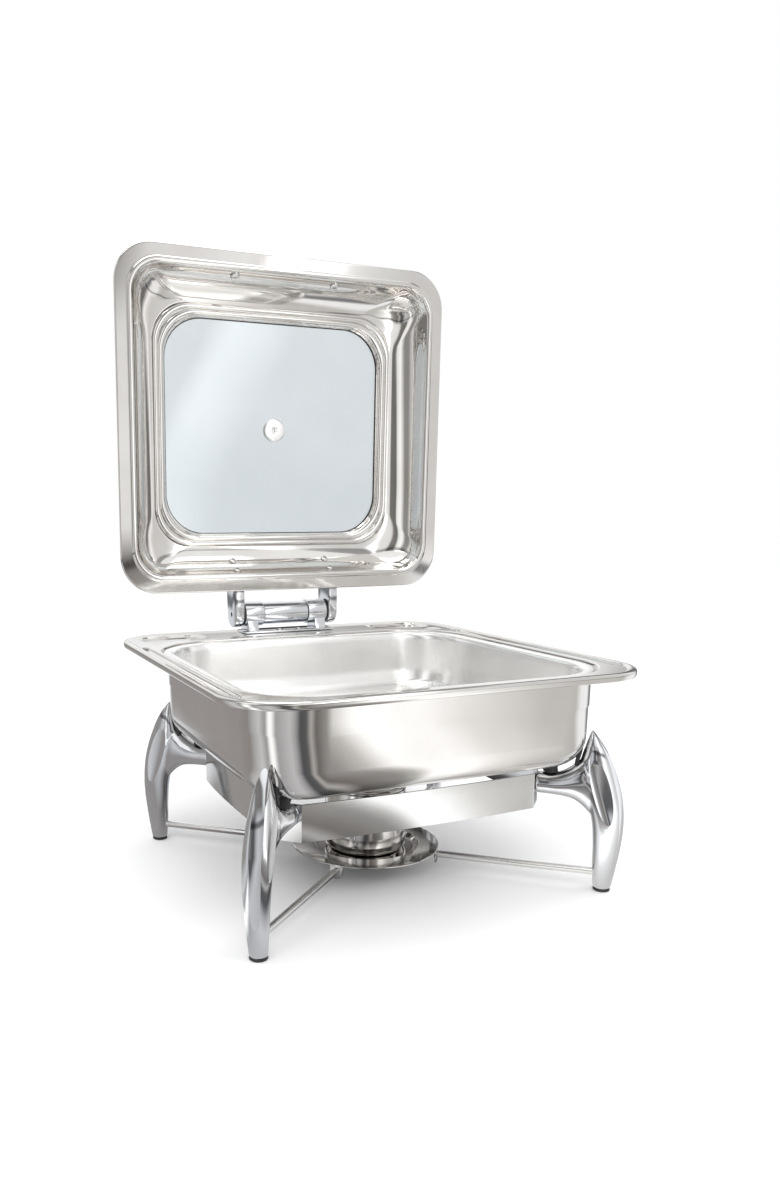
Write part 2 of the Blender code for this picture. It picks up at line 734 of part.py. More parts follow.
def make_wall_screws(lid):
    """Heads inside the dome, shanks through its wall."""
    for name, (spot, normal) in wall_screws().items():
        head = (4.6, 2.0) if name.startswith("handle") else (3.6, 1.6)
        seat = spot - normal * (LID_WALL / 2 + GAP)
        screw = make_screw(name, seat, normal, head, (2.0, 1.6), "mirror_steel", lid)
        screw.location = seat - Vector((0, AXIS_Y, AXIS_Z))


def make_glass(lid):
    """The window pane, its gasket and the two discs of the steam vent."""
    vent_centre = Vector((0, LID_Y, LID_Z))

    def plate(inset, low, high):
        radius = WINDOW_CORNER + WINDOW_INSET - inset
        return loft([lid_ring(inset, low, radius), lid_ring(inset, high, radius)], True, True)

    pane = plate(GLASS_INSET, GLASS_BASE, GLASS_BASE + GLASS_THICK)
    glass = add_part("window_glass", finish(pane, "window_glass"), "clear_glass")
    place_on_lid(glass, lid)
    hole = bmesh.new()
    cylinder(hole, 4.3 * MM, 40 * MM, Matrix.Translation(vent_centre + Vector((0, 0, GLASS_BASE))), 16)
    cutter = add_cutter("vent_hole", finish(hole, "vent_hole"))
    place_on_lid(cutter, lid)
    cut(glass, cutter)
    rings = []
    low = GLASS_BASE - 1.2 * MM + GAP
    high = GLASS_BASE - GAP
    for inset, z in ((64.0 * MM, low), (60.6 * MM, low), (60.6 * MM, high), (64.0 * MM, high)):
        rings.append(lid_ring(inset, z, WINDOW_CORNER + WINDOW_INSET - inset))
    gasket = add_part("window_gasket", finish(loft(rings, close=True), "window_gasket"), "black_rubber")
    place_on_lid(gasket, lid)
    make_vent(lid)


def make_vent(lid):
    """Discs either side of the pane; the inner one has a sleeve through the hole."""
    below = GLASS_BASE - GAP
    inner = (
        (1.8 * MM, GLASS_BASE + GLASS_THICK - 0.5 * MM),
        (4.0 * MM, GLASS_BASE + GLASS_THICK - 0.5 * MM),
        (4.0 * MM, below),
        (VENT_RADIUS, below),
        (VENT_RADIUS, below - 1.6 * MM),
        (VENT_RADIUS - 1 * MM, below - 2.4 * MM),
        (1.8 * MM, below - 2.4 * MM),
    )
    above = GLASS_BASE + GLASS_THICK + GAP
    outer = (
        (1.8 * MM, above + 2.0 * MM),
        (VENT_RADIUS - 2 * MM, above + 2.0 * MM),
        (VENT_RADIUS, above + 1.0 * MM),
        (VENT_RADIUS, above),
        (1.8 * MM, above),
    )
    for name, profile in (("vent_ferrule_inner", inner), ("vent_ferrule_outer", outer)):
        disc = turned(name, profile, "satin_steel", (0, 0, 0), None, 28)
        disc.parent = lid
        disc.location = (0, LID_Y - AXIS_Y, LID_Z - AXIS_Z)


def make_handle(lid):
    """A bar across the front of the lid, on two posts."""
    front = LID_Y - LID_HALF_Y
    bar_at = Vector((0, front + HANDLE_INSET, LID_Z + HANDLE_RISE))
    bar = bmesh.new()
    cylinder(bar, HANDLE_RADIUS, 2 * HANDLE_HALF, along((1, 0, 0), bar_at), 20)
    handle = add_part("lid_handle", finish(bar, "lid_handle"), "cast_chrome")
    place_on_lid(handle, lid)
    posts = bmesh.new()
    for side in SIDES.values():
        top = bar_at + Vector((side * SCREW_X, 0, 0))
        foot = Vector((side * SCREW_X, front + 22.0 * MM, LID_Z + 12.0 * MM))
        normal = Vector((0, -0.936, 0.351))
        foot += normal * (LID_WALL / 2 + 2.9 * MM)
        span = top - foot
        cylinder(posts, POST_RADIUS, span.length, along(span, (top + foot) / 2), 18)
    tool = add_cutter("handle_post_shapes", finish(posts, "handle_post_shapes"))
    place_on_lid(tool, lid)
    cut(handle, tool, "UNION")


def arm_outline():
    """Side view of an arm, shut, as (y, z) from the hinge axis: round end, then a lip under the dome."""
    points = []
    steps = 10
    for step in range(steps + 1):
        angle = math.radians(90 - 180 * step / steps)
        points.append((ARM_END * math.cos(angle), ARM_END * math.sin(angle)))
    points.append((-19 * MM, -ARM_END))
    points.append((-26 * MM, LID_Z - AXIS_Z + LID_WALL / 2 + 1 * MM))
    foot_back = LID_Y + LID_HALF_Y - AXIS_Y
    flange = LID_Z - AXIS_Z
    points.append((foot_back - 17.5 * MM, flange + 3.0 * MM))
    points.append((foot_back - 20.0 * MM, flange + 14.0 * MM))
    points.append((foot_back - 30.0 * MM, flange + 28.6 * MM))
    points.append((foot_back - 38.0 * MM, flange + 35.5 * MM))
    points.append((foot_back - 36.0 * MM, flange + 39.0 * MM))
    points.append((foot_back - 24.0 * MM, flange + 36.0 * MM))
    return points


def make_arms(lid):
    for side_name, side in SIDES.items():
        rings = []
        for x in (ARM_IN, ARM_OUT):
            rings.append([Vector((side * x, y, z)) for y, z in arm_outline()])
        arm = add_part("hinge_arm_" + side_name, finish(loft(rings, True, True), "hinge_arm"),
                       "cast_chrome", parent=lid)
        hole = bmesh.new()
        cylinder(hole, GRUB_RADIUS + GAP, 30 * MM, along((1, 0, 0), (side * ARM_IN, 0, 0)), 14)
        cut(arm, add_cutter("arm_hole_" + side_name, finish(hole, "arm_hole"), lid))


# ---------------------------------------------------------------- the whole object


def make_lid():
    lid = bpy.data.objects.new("lid_axis", None)
    make_collection("roll_top_chafer").objects.link(lid)
    lid.location = (0, AXIS_Y, AXIS_Z)
    make_lid_shell(lid)
    make_wall_screws(lid)
    make_glass(lid)
    make_handle(lid)
    make_arms(lid)
    make_hinge_pin(lid)
    lid.rotation_euler = (-LID_OPEN, 0, 0)


def main():
    clear_scene()
    stand = bpy.data.objects.new("stand", None)
    make_collection("roll_top_chafer").objects.link(stand)
    make_legs(stand)
    make_band(stand)
    make_tray(stand)
    make_stays(stand)
    make_fuel_holder(stand)
    make_water_pan(stand)
    make_food_pan(stand)
    make_hinge_base(stand)
    make_lid()


main()
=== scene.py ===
"""Looks of the roll top chafer: finished sheets, castings and metal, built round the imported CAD.

Run inside Blender 4.5. Units are metres; sizes below are written as millimetres times MM.
The lid's pieces are modelled shut, then turned open about the hinge axis, as the CAD's are.
"""

import math

import bmesh
import bpy
from mathutils import Matrix, Vector


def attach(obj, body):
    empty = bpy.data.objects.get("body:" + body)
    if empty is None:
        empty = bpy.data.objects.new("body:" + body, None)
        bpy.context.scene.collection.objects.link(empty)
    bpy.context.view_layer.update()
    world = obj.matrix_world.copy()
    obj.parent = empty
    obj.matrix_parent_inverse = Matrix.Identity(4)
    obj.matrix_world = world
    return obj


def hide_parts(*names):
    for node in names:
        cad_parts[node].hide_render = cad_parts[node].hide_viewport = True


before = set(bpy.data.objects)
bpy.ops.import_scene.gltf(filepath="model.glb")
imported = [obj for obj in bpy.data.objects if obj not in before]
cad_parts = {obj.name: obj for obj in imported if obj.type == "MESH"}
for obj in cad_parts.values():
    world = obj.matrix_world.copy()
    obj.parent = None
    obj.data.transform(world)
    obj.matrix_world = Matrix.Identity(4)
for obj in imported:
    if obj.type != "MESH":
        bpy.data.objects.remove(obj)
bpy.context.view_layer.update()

MM = 0.001
PAN_Y = -31.9 * MM
PAN_CENTRE = Vector((0, PAN_Y, 0))

# Stand
FOOT_X = 173.0 * MM
FOOT_Y = 148.0 * MM
BAND_HALF_X = 136.5 * MM
BAND_HALF_Y = 111.5 * MM
BAND_CHAMFER = 17.0 * MM
BAND_BOW = 4.0 * MM
BAND_BOTTOM = 75.5 * MM
BAND_TOP = 109.0 * MM
BAND_WALL = 2.0 * MM
BRANCH_Z = 98.0 * MM
BRANCH_PAD_REACH = 51 * MM
RING_STEPS = 56
LEAF_TURN = math.radians(18)
ROD_Z = 17.2 * MM
ROD_RADIUS = 3.4 * MM
TRAY_RADIUS = 73.7 * MM
TRAY_TOP = 23.0 * MM
TRAY_WALL = 1.4 * MM
WELL_RADIUS = 52.5 * MM
WELL_DEPTH = 3.6 * MM
LUG_OFFSET = 72.0 * MM
CUP_RADIUS = 40.5 * MM
CUP_HEIGHT = 62.0 * MM
CUP_WALL = 1.4 * MM
PIVOT_REACH = 45.0 * MM
COVER_RADIUS = 39.9 * MM
COVER_WALL = 1.2 * MM

# Pans
RIM_HALF_X = 200.4 * MM
RIM_FRONT = PAN_Y - 183.2 * MM
RIM_BACK = PAN_Y + 230.0 * MM
RIM_CORNER = 58.0 * MM
RIM_TOP = 213.8 * MM
RIM_STEP = 1.6 * MM
PAN_WALL = 1.5 * MM
PAN_BOTTOM = 120.0 * MM
PAN_BEND = 28.0 * MM
MOUTH_HALF_X = 180.0 * MM
MOUTH_HALF_Y = 165.5 * MM
WALL_X = 171.3 * MM
WALL_Y = 156.3 * MM
WALL_LEAN = 2.5 * MM
WALL_CORNER = 53.0 * MM
FOOD_HALF_X = 177.0 * MM
FOOD_HALF_Y = 162.5 * MM
FOOD_TOP = 210.4 * MM
FOOD_DEPTH = 63.0 * MM
FOOD_WALL = 1.2 * MM

# Hinge
AXIS_Y = PAN_Y + 214.8 * MM
AXIS_Z = 232.9 * MM
PLATE_Z = RIM_TOP - RIM_STEP + 0.3 * MM
PLATE_THICK = 2.2 * MM
PIN_RADIUS = 5.0 * MM
BORE_RADIUS = 5.3 * MM
ARM_INNER = 53.5 * MM
ARM_OUTER = 64.3 * MM

# Lid, shut
LID_HALF_X = 196.1 * MM
LID_HALF_Y = 182.7 * MM
LID_Y = PAN_Y + 3.3 * MM
LID_FRONT = LID_Y - LID_HALF_Y
LID_BACK = LID_Y + LID_HALF_Y
LID_Z = 217.0 * MM
LID_WALL = 1.2 * MM
LID_OPEN = math.radians(89.2)
GLASS_INSET = 55.5 * MM
GLASS_BASE = 44.6 * MM
GLASS_THICK = 4.0 * MM
WINDOW_INSET = 62.9 * MM
WINDOW_CORNER = 45.6 * MM
SCREW_X = 60.0 * MM
ARM_SCREW_X = 58.9 * MM
# Two spots on the dome's wall: inset, height, and the back wall's outward normal there.
STEEP_SPOT = (22.0 * MM, LID_Z + 12.0 * MM, Vector((0, 0.936, 0.351)))
SLOPED_SPOT = (32.0 * MM, LID_Z + 27.75 * MM, Vector((0, 0.731, 0.682)))

CORNERS = {
    "front_left": (-1, -1),
    "front_right": (1, -1),
    "back_left": (-1, 1),
    "back_right": (1, 1),
}
SIDES = {"left": -1, "right": 1}

# Points nearer than this are one point.
SAME = 1e-5


# ---- materials

SMUDGE_SCALE = 14.0
SMUDGE_WEIGHT = 0.4
GRAIN_WEIGHT = 0.6
GRAIN_DEPTH = 0.0001


def feed(tree, node, inputs):
    """Set a node's inputs to values, or link them to other nodes' outputs."""
    for name, value in inputs.items():
        if isinstance(value, bpy.types.NodeSocket):
            tree.links.new(value, node.inputs[name])
        else:
            node.inputs[name].default_value = value


def add_node(tree, kind, inputs=None, **settings):
    node = tree.nodes.new(kind)
    for name, value in settings.items():
        setattr(node, name, value)
    feed(tree, node, inputs or {})
    return node


def calculated(tree, operation, *values):
    """A Math node's result, from numbers and other nodes' outputs."""
    node = add_node(tree, "ShaderNodeMath", dict(enumerate(values)), operation=operation)
    return node.outputs[0]


def new_material(name):
    material = bpy.data.materials.new(name)
    material.use_nodes = True
    return material, material.node_tree, material.node_tree.nodes["Principled BSDF"]


def stretched_noise(tree, scale, detail=3.0, stretch=(1, 1, 1)):
    """Noise over the object's own coordinates, with a scale for each axis."""
    place = add_node(tree, "ShaderNodeTexCoord").outputs["Object"]
    mapping = add_node(tree, "ShaderNodeMapping", {"Vector": place, "Scale": stretch})
    noise = add_node(tree, "ShaderNodeTexNoise", {
        "Vector": mapping.outputs["Vector"], "Scale": scale, "Detail": detail})
    return noise.outputs["Fac"]


def spread(tree, source, low, high, start=0.3, end=0.7):
    """Map a value onto a range; the defaults suit a noise."""
    node = add_node(tree, "ShaderNodeMapRange", {
        "Value": source, "From Min": start, "From Max": end, "To Min": low, "To Max": high})
    return node.outputs["Result"]


def tint(tree, source, dark, light):
    """Blend two colours by a noise value."""
    mix = add_node(tree, "ShaderNodeMix", {
        "Factor": source, "A": (*dark, 1), "B": (*light, 1)}, data_type="RGBA")
    return mix.outputs["Result"]


def add_bump(tree, shader, height, strength, distance):
    bump = add_node(tree, "ShaderNodeBump", {
        "Height": height, "Strength": strength, "Distance": distance})
    tree.links.new(bump.outputs["Normal"], shader.inputs["Normal"])


def steel(name, dark, light, rough, grain_scale, stretch, bump):
    """Metal with smudges in its colour and a fine grain in its roughness and surface."""
    material, tree, shader = new_material(name)
    smudge = stretched_noise(tree, SMUDGE_SCALE, 4.0)
    grain = stretched_noise(tree, grain_scale, 5.0, stretch)
    smudge_share = calculated(tree, "MULTIPLY", smudge, SMUDGE_WEIGHT)
    mixed = calculated(tree, "MULTIPLY_ADD", spread(tree, grain, 0, 1), GRAIN_WEIGHT, smudge_share)
    feed(tree, shader, {
        "Metallic": 1.0,
        "Base Color": tint(tree, spread(tree, smudge, 0, 1), dark, light),
        "Roughness": spread(tree, mixed, *rough, 0.0, 1.0),
    })
    add_bump(tree, shader, grain, bump, GRAIN_DEPTH)
    return material


def rubber(name):
    material, tree, shader = new_material(name)
    speckle = stretched_noise(tree, 700.0, 3.0)
    feed(tree, shader, {
        "Base Color": tint(tree, speckle, (0.010, 0.010, 0.011), (0.030, 0.030, 0.032)),
        "Roughness": spread(tree, speckle, 0.42, 0.62),
    })
    add_bump(tree, shader, speckle, 0.25, 0.0002)
    return material


def glass(name):
    material, tree, shader = new_material(name)
    haze = stretched_noise(tree, 9.0, 3.0)
    clouded = spread(tree, haze, 0, 1)
    feed(tree, shader, {
        "Transmission Weight": 1.0,
        "IOR": 1.70,
        "Specular Tint": (0.93, 0.98, 1.0, 1),
        "Base Color": tint(tree, clouded, (0.68, 0.72, 0.725), (0.74, 0.775, 0.78)),
        "Roughness": spread(tree, haze, 0.0, 0.035),
    })
    return material


def make_materials():
    even = (1.0, 1.0, 1.0)
    return {
        "mirror_steel": steel("polished_steel", (0.64, 0.625, 0.605), (0.72, 0.705, 0.685),
                              (0.035, 0.11), 260.0, even, 0.02),
        "lid_steel": steel("polished_lid_steel", (0.66, 0.64, 0.615), (0.74, 0.725, 0.705),
                           (0.03, 0.10), 200.0, (1.0, 1.0, 0.35), 0.03),
        "satin_steel": steel("satin_steel", (0.84, 0.835, 0.82), (0.91, 0.905, 0.895),
                             (0.18, 0.30), 900.0, even, 0.10),
        "brushed_steel": steel("brushed_steel", (0.62, 0.62, 0.615), (0.72, 0.72, 0.71),
                               (0.05, 0.17), 60.0, (0.25, 0.25, 30.0), 0.12),
        "cast_chrome": steel("cast_chrome", (0.655, 0.67, 0.69), (0.735, 0.75, 0.77),
                             (0.03, 0.10), 320.0, even, 0.03),
        "black_rubber": rubber("black_rubber"),
        "clear_glass": glass("window_glass"),
    }


MATERIALS = make_materials()


# ---- pieces and meshes


def linked(name, data):
    """A new object in the scene."""
    made = bpy.data.objects.new(name, data)
    bpy.context.scene.collection.objects.link(made)
    return made


def add_piece(name, mesh, kind, body, *nodes):
    """Put a finished mesh in the scene, in place of the CAD nodes that it stands for."""
    piece = linked(name, mesh)
    mesh.materials.clear()
    mesh.materials.append(MATERIALS[kind])
    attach(piece, body)
    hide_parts(*nodes)


def finish(bm, name, smooth_angle=40.0):
    """Turn a bmesh into a mesh that faces outward, smooth but for its sharp edges."""
    bmesh.ops.recalc_face_normals(bm, faces=bm.faces[:])
    mesh = bpy.data.meshes.new(name)
    bm.to_mesh(mesh)
    bm.free()
    mesh.shade_smooth()
    mesh.set_sharp_from_angle(angle=math.radians(smooth_angle))
    return mesh


def applied(mesh, *modifiers, smooth_angle=None):
    """The mesh with modifiers applied, each given as (kind, {setting: value})."""
    holder = linked("holder", mesh)
    for kind, settings in modifiers:
        modifier = holder.modifiers.new(kind, kind)
        for key, value in settings.items():
            setattr(modifier, key, value)
    depsgraph = bpy.context.evaluated_depsgraph_get()
    result = bpy.data.meshes.new_from_object(holder.evaluated_get(depsgraph))
    bpy.data.objects.remove(holder)
    result.name = mesh.name
    result.shade_smooth()
    if smooth_angle is not None:
        result.set_sharp_from_angle(angle=math.radians(smooth_angle))
    return result


def combined(mesh, others, operation="UNION", smooth_angle=35.0):
    """The mesh joined to, or cut by, each of the other closed meshes."""
    tools = [linked("tool", other) for other in others]
    steps = [("BOOLEAN", {"operation": operation, "object": tool, "solver": "EXACT"})
             for tool in tools]
    result = applied(mesh, *steps, smooth_angle=smooth_angle)
    for tool in tools:
        bpy.data.objects.remove(tool)
    return result


def thickened(mesh, thickness, even=True):
    """An open sheet given its thickness about its middle."""
    settings = {"thickness": thickness, "offset": 0.0, "use_even_offset": even}
    return applied(mesh, ("SOLIDIFY", settings), smooth_angle=50)


def bevelled(mesh, width, segments=3, limit=40.0):
    settings = {
        "width": width,
        "segments": segments,
        "limit_method": "ANGLE",
        "angle_limit": math.radians(limit),
    }
    return applied(mesh, ("BEVEL", settings), smooth_angle=40)


def circle(steps):
    """The cosine and sine of each step round a circle."""
    angles = [2 * math.pi * step / steps for step in range(steps)]
    return [(math.cos(angle), math.sin(angle)) for angle in angles]


def rounded_rect(half_x, front, back, radius, z, steps, cuts_x, cuts_y):
    """Points of a rounded rectangle between y = front and y = back, anticlockwise from +X."""
    arcs = []
    for side_x, side_y, start in ((1, 1, 0), (-1, 1, 90), (-1, -1, 180), (1, -1, 270)):
        centre_x = side_x * (half_x - radius)
        centre_y = back - radius if side_y > 0 else front + radius
        arc = []
        for step in range(steps + 1):
            angle = math.radians(start + 90 * step / steps)
            x = centre_x + radius * math.cos(angle)
            y = centre_y + radius * math.sin(angle)
            arc.append(Vector((x, y, z)))
        arcs.append(arc)
    points = []
    for index, arc in enumerate(arcs):
        points.extend(arc)
        after = arcs[(index + 1) % 4][0]
        cuts = cuts_y if index % 2 else cuts_x
        for cut in range(1, cuts):
            points.append(arc[-1].lerp(after, cut / cuts))
    return points


def loft(rings, cap_start=False, cap_end=False, close=False):
    """Bridge rings of equal length, one after another."""
    bm = bmesh.new()
    loops = [[bm.verts.new(point) for point in ring] for ring in rings]
    pairs = list(zip(loops, loops[1:]))
    if close:
        pairs.append((loops[-1], loops[0]))
    for lower, upper in pairs:
        count = len(lower)
        for i in range(count):
            after = (i + 1) % count
            bm.faces.new((lower[i], lower[after], upper[after], upper[i]))
    if cap_start:
        bm.faces.new(list(reversed(loops[0])))
    if cap_end:
        bm.faces.new(loops[-1])
    return bm


def softened(points, radius, steps=4, closed=False):
    """A polyline of number tuples with each corner replaced by a short curve."""
    count = len(points)
    result = []
    for index, point in enumerate(points):
        here = Vector(point)
        if not closed and index in (0, count - 1):
            result.append(tuple(here))
            continue
        before = Vector(points[index - 1])
        after = Vector(points[(index + 1) % count])
        reach_in = min(radius, (before - here).length * 0.5)
        reach_out = min(radius, (after - here).length * 0.5)
        start = here + (before - here).normalized() * reach_in
        end = here + (after - here).normalized() * reach_out
        for step in range(steps + 1):
            t = step / steps
            curve = start * (1 - t) ** 2 + here * 2 * t * (1 - t) + end * t ** 2
            if not result or (curve - Vector(result[-1])).length > SAME:
                result.append(tuple(curve))
    return result


def curved(points, per=6):
    """A smooth path through number tuples, passing through every one."""
    path = [Vector(p) for p in points]
    result = []
    for i in range(len(path) - 1):
        p1, p2 = path[i], path[i + 1]
        p0 = path[i - 1] if i else p1 * 2 - p2
        p3 = path[i + 2] if i + 2 < len(path) else p2 * 2 - p1
        for step in range(per):
            t = step / per
            a = p1 * 2
            b = (p2 - p0) * t
            c = (p0 * 2 - p1 * 5 + p2 * 4 - p3) * t ** 2
            d = (p1 * 3 - p0 - p2 * 3 + p3) * t ** 3
            result.append(tuple((a + b + c + d) * 0.5))
    result.append(tuple(path[-1]))
    return result


def lathe(name, profile, steps=96, smooth_angle=35.0):
    """A closed solid from (radius, height) points turned about Z."""
    bm = bmesh.new()
    rings = []
    for radius, z in profile:
        if radius < SAME:
            rings.append([bm.verts.new((0, 0, z))])
        else:
            rings.append([bm.verts.new((radius * x, radius * y, z)) for x, y in circle(steps)])
    pairs = list(zip(rings, rings[1:]))
    if len(rings[0]) > 1:
        pairs.append((rings[-1], rings[0]))
    for lower, upper in pairs:
        for i in range(steps):
            after = (i + 1) % steps
            if len(lower) == 1:
                bm.faces.new((lower[0], upper[after], upper[i]))
            elif len(upper) == 1:
                bm.faces.new((lower[i], lower[after], upper[0]))
            else:
                bm.faces.new((lower[i], lower[after], upper[after], upper[i]))
    return finish(bm, name, smooth_angle)


def scaled(points):
    """Points given in millimetres, in metres."""
    return [tuple(value * MM for value in point) for point in points]


def along(direction, centre):
    """A matrix whose local Z points along a direction."""
    turn = Vector(direction).to_track_quat("Z", "Y").to_matrix().to_4x4()
    return Matrix.Translation(centre) @ turn


def moved(mesh, matrix):
    mesh.transform(matrix)
    return mesh


def block(name, size, centre, bevel=0.0):
    bm = bmesh.new()
    matrix = Matrix.Translation(centre) @ Matrix.Diagonal((*size, 1.0))
    bmesh.ops.create_cube(bm, size=1.0, matrix=matrix)
    mesh = finish(bm, name)
    return bevelled(mesh, bevel) if bevel else mesh


def extruded(name, outline, start, end, place):
    """A closed prism: outline points (a, b) placed at two depths."""
    rings = [[place(a, b, depth) for a, b in outline] for depth in (start, end)]
    return finish(loft(rings, True, True), name)


def rod(name, radius, length, chamfer, matrix):
    """A bar along the matrix's Z, centred on it, with softened ends."""
    half = length / 2
    profile = [
        (0, -half),
        (radius - chamfer, -half),
        (radius, -half + chamfer),
        (radius, half - chamfer),
        (radius - chamfer, half),
        (0, half),
    ]
    return moved(lathe(name, softened(profile, chamfer * 0.6, 3), 48), matrix)


def screw_mesh(name, sizes, seat, direction):
    """A domed screw with a cross recess, whose shank points along the direction from the seat.

    The sizes are the head's radius and height and the shank's radius and length, in millimetres.
    """
    head_radius, head_height, shank_radius, shank_length = (size * MM for size in sizes)
    head = curved([
        (head_radius, 0.0),
        (head_radius * 0.97, -head_height * 0.45),
        (head_radius * 0.72, -head_height * 0.86),
        (head_radius * 0.36, -head_height * 0.98),
        (0.0, -head_height),
    ], 5)
    profile = [(0.0, shank_length), (shank_radius, shank_length), (shank_radius, 0.0), *head]
    mesh = lathe(name, profile, 40)
    wide = head_radius * 0.95
    thin = head_radius * 0.24
    deep = head_height * 0.9
    cross = ((wide, thin, deep), (thin, wide, deep))
    slots = [block("slot", size, (0, 0, -head_height)) for size in cross]
    mesh = combined(mesh, slots, "DIFFERENCE", 30)
    return moved(mesh, along(direction, seat))


# ---- stand


def leg_matrix(side_x, side_y):
    place = Matrix.Translation((side_x * FOOT_X, PAN_Y + side_y * FOOT_Y, 0))
    return place @ Matrix.Rotation(math.atan2(side_y, side_x), 4, "Z")


def leg_body():
    """The upright: rings of height, inner and outer reach from the foot's axis, half width."""
    shape = (
        (2.7, -7.9, 7.9, 7.9),
        (10, -8.6, 9.4, 8.3),
        (24, -9.5, 12.0, 9.2),
        (45, -10.3, 15.2, 10.3),
        (66, -12.3, 16.6, 11.6),
        (88, -18.0, 15.0, 12.2),
        (107, -24.0, 10.4, 11.6),
        (122, -24.6, 4.8, 10.0),
        (135, -21.6, -1.0, 7.8),
        (146, -18.4, -8.0, 4.8),
        (153, -15.8, -12.6, 1.7),
    )
    rings = []
    for height, inner, outer, half_width in curved(shape, 5):
        middle = (inner + outer) / 2
        half_depth = (outer - inner) / 2
        rings.append([Vector((middle + half_depth * x, half_width * y, height)) * MM
                      for x, y in circle(RING_STEPS)])
    return finish(loft(rings, True, True), "leg_body")


def leg_branch():
    """The arm to the band: rings of reach, lower and upper height, half width."""
    to_facet = (FOOT_X - BAND_HALF_X + FOOT_Y - BAND_HALF_Y + BAND_CHAMFER) / math.sqrt(2) / MM
    shape = (
        (0.3 - to_facet, 87.8, 109.2, 8.9),
        (-56, 87.7, 108.9, 8.8),
        (-50, 87.6, 109.0, 8.8),
        (-42, 87.2, 111.0, 9.2),
        (-34, 86.2, 115.6, 9.8),
        (-27, 83.8, 121.6, 10.2),
        (-20, 78.8, 126.0, 10.2),
        (-12, 72.0, 121.0, 9.0),
        (-4, 76.0, 108.0, 6.5),
    )
    rings = []
    for reach, low, high, half_width in curved(shape, 5):
        middle = (low + high) / 2
        half_height = (high - low) / 2
        rings.append([Vector((reach, half_width * y, middle + half_height * z)) * MM
                      for y, z in circle(RING_STEPS)])
    return finish(loft(rings, True, True), "leg_branch")


def leaf_cutter():
    """A tool whose hollow face shaves the leaf-shaped facet on the leg's outer side.

    The face is given as height and reach from the foot's axis.
    """
    width = 28
    groove = 6
    behind = 40
    face = (
        (20, 14.2),
        (33, 13.3),
        (45, 14.3),
        (58, 15.1),
        (72, 15.1),
        (88, 13.5),
        (104, 9.6),
        (118, 4.9),
        (130, -0.3),
        (141, -6.2),
        (149, -11.5),
        (158, -18.0),
    )
    rings = []
    for height, reach in curved(face, 5):
        ring = []
        for step in range(33):
            across = (step / 32 - 0.5) * width
            hollow = 1 - min(abs(across) / groove, 1) ** 2
            ring.append(Vector((reach - hollow, across, height)) * MM)
        for side in (1, -1):
            ring.append(Vector((behind, side * width / 2, height)) * MM)
        rings.append(ring)
    return finish(loft(rings, True, True), "leaf_cutter")


def web_cutter(side):
    """A flattened ball that hollows the three-cornered web on one side of the leg."""
    bm = bmesh.new()
    bmesh.ops.create_uvsphere(bm, u_segments=64, v_segments=32, radius=1.0)
    size = Matrix.Diagonal((14 * MM, 9 * MM, 56 * MM, 1.0))
    lean = Matrix.Rotation(math.radians(-15), 4, "Y")
    place = Matrix.Translation((-5.5 * MM, side * 17.6 * MM, 106 * MM))
    bmesh.ops.transform(bm, matrix=place @ lean @ size, verts=bm.verts)
    return finish(bm, "web_cutter")


def make_legs():
    whole = combined(leg_body(), [leg_branch()])
    smooth = applied(
        whole,
        ("REMESH", {"mode": "VOXEL", "voxel_size": 0.95 * MM}),
        ("SMOOTH", {"factor": 0.5, "iterations": 14}),
    )
    castings = {}
    for hand in (-1, 1):
        leaf = moved(leaf_cutter(), Matrix.Rotation(hand * LEAF_TURN, 4, "Z"))
        facets = [leaf, web_cutter(-1), web_cutter(1)]
        castings[hand] = combined(smooth.copy(), facets, "DIFFERENCE", 16)
    for corner, (side_x, side_y) in CORNERS.items():
        matrix = leg_matrix(side_x, side_y)
        mesh = moved(castings[side_x * side_y].copy(), matrix)
        add_piece("leg_casting_" + corner, mesh, "cast_chrome", "stand", "leg_" + corner)
        make_pads(corner, matrix)


def make_pads(corner, matrix):
    """A ringed foot, a ribbed cushion under the pan and a stop behind its corner."""
    foot = lathe("foot", scaled(softened([
        (0, 0), (7.0, 0), (7.8, 0.8), (7.8, 1.5), (7.3, 1.7), (7.3, 2.6), (0, 2.6)], 0.3, 3)), 48)
    cushion = lathe("cushion", scaled(softened([
        (0, 109.6), (6.4, 109.6), (7.2, 111.4), (6.2, 113.2), (7.0, 115.0), (7.4, 117.2),
        (6.6, 119.4), (0, 119.7)], 0.9, 4)), 48)
    moved(cushion, Matrix.Translation((-BRANCH_PAD_REACH, 0, 0)))
    outline = softened([
        (-29.6, 119.5), (-27.2, 118.0), (-24.4, 126.0), (-22.8, 134.0), (-24.6, 136.0),
        (-28.2, 127.5)], 1.6, 4, True)

    def place(a, b, depth):
        return Vector((a, depth, b)) * MM

    stop = bevelled(extruded("stop", outline, -6.2, 6.2, place), 0.8 * MM)
    for name, mesh, node in (
        ("foot_cap_", foot, "foot_pad_"),
        ("pan_cushion_", cushion, "branch_pad_"),
        ("corner_stop_", stop, "fin_pad_"),
    ):
        add_piece(name + corner, moved(mesh, matrix), "black_rubber", "stand", node + corner)


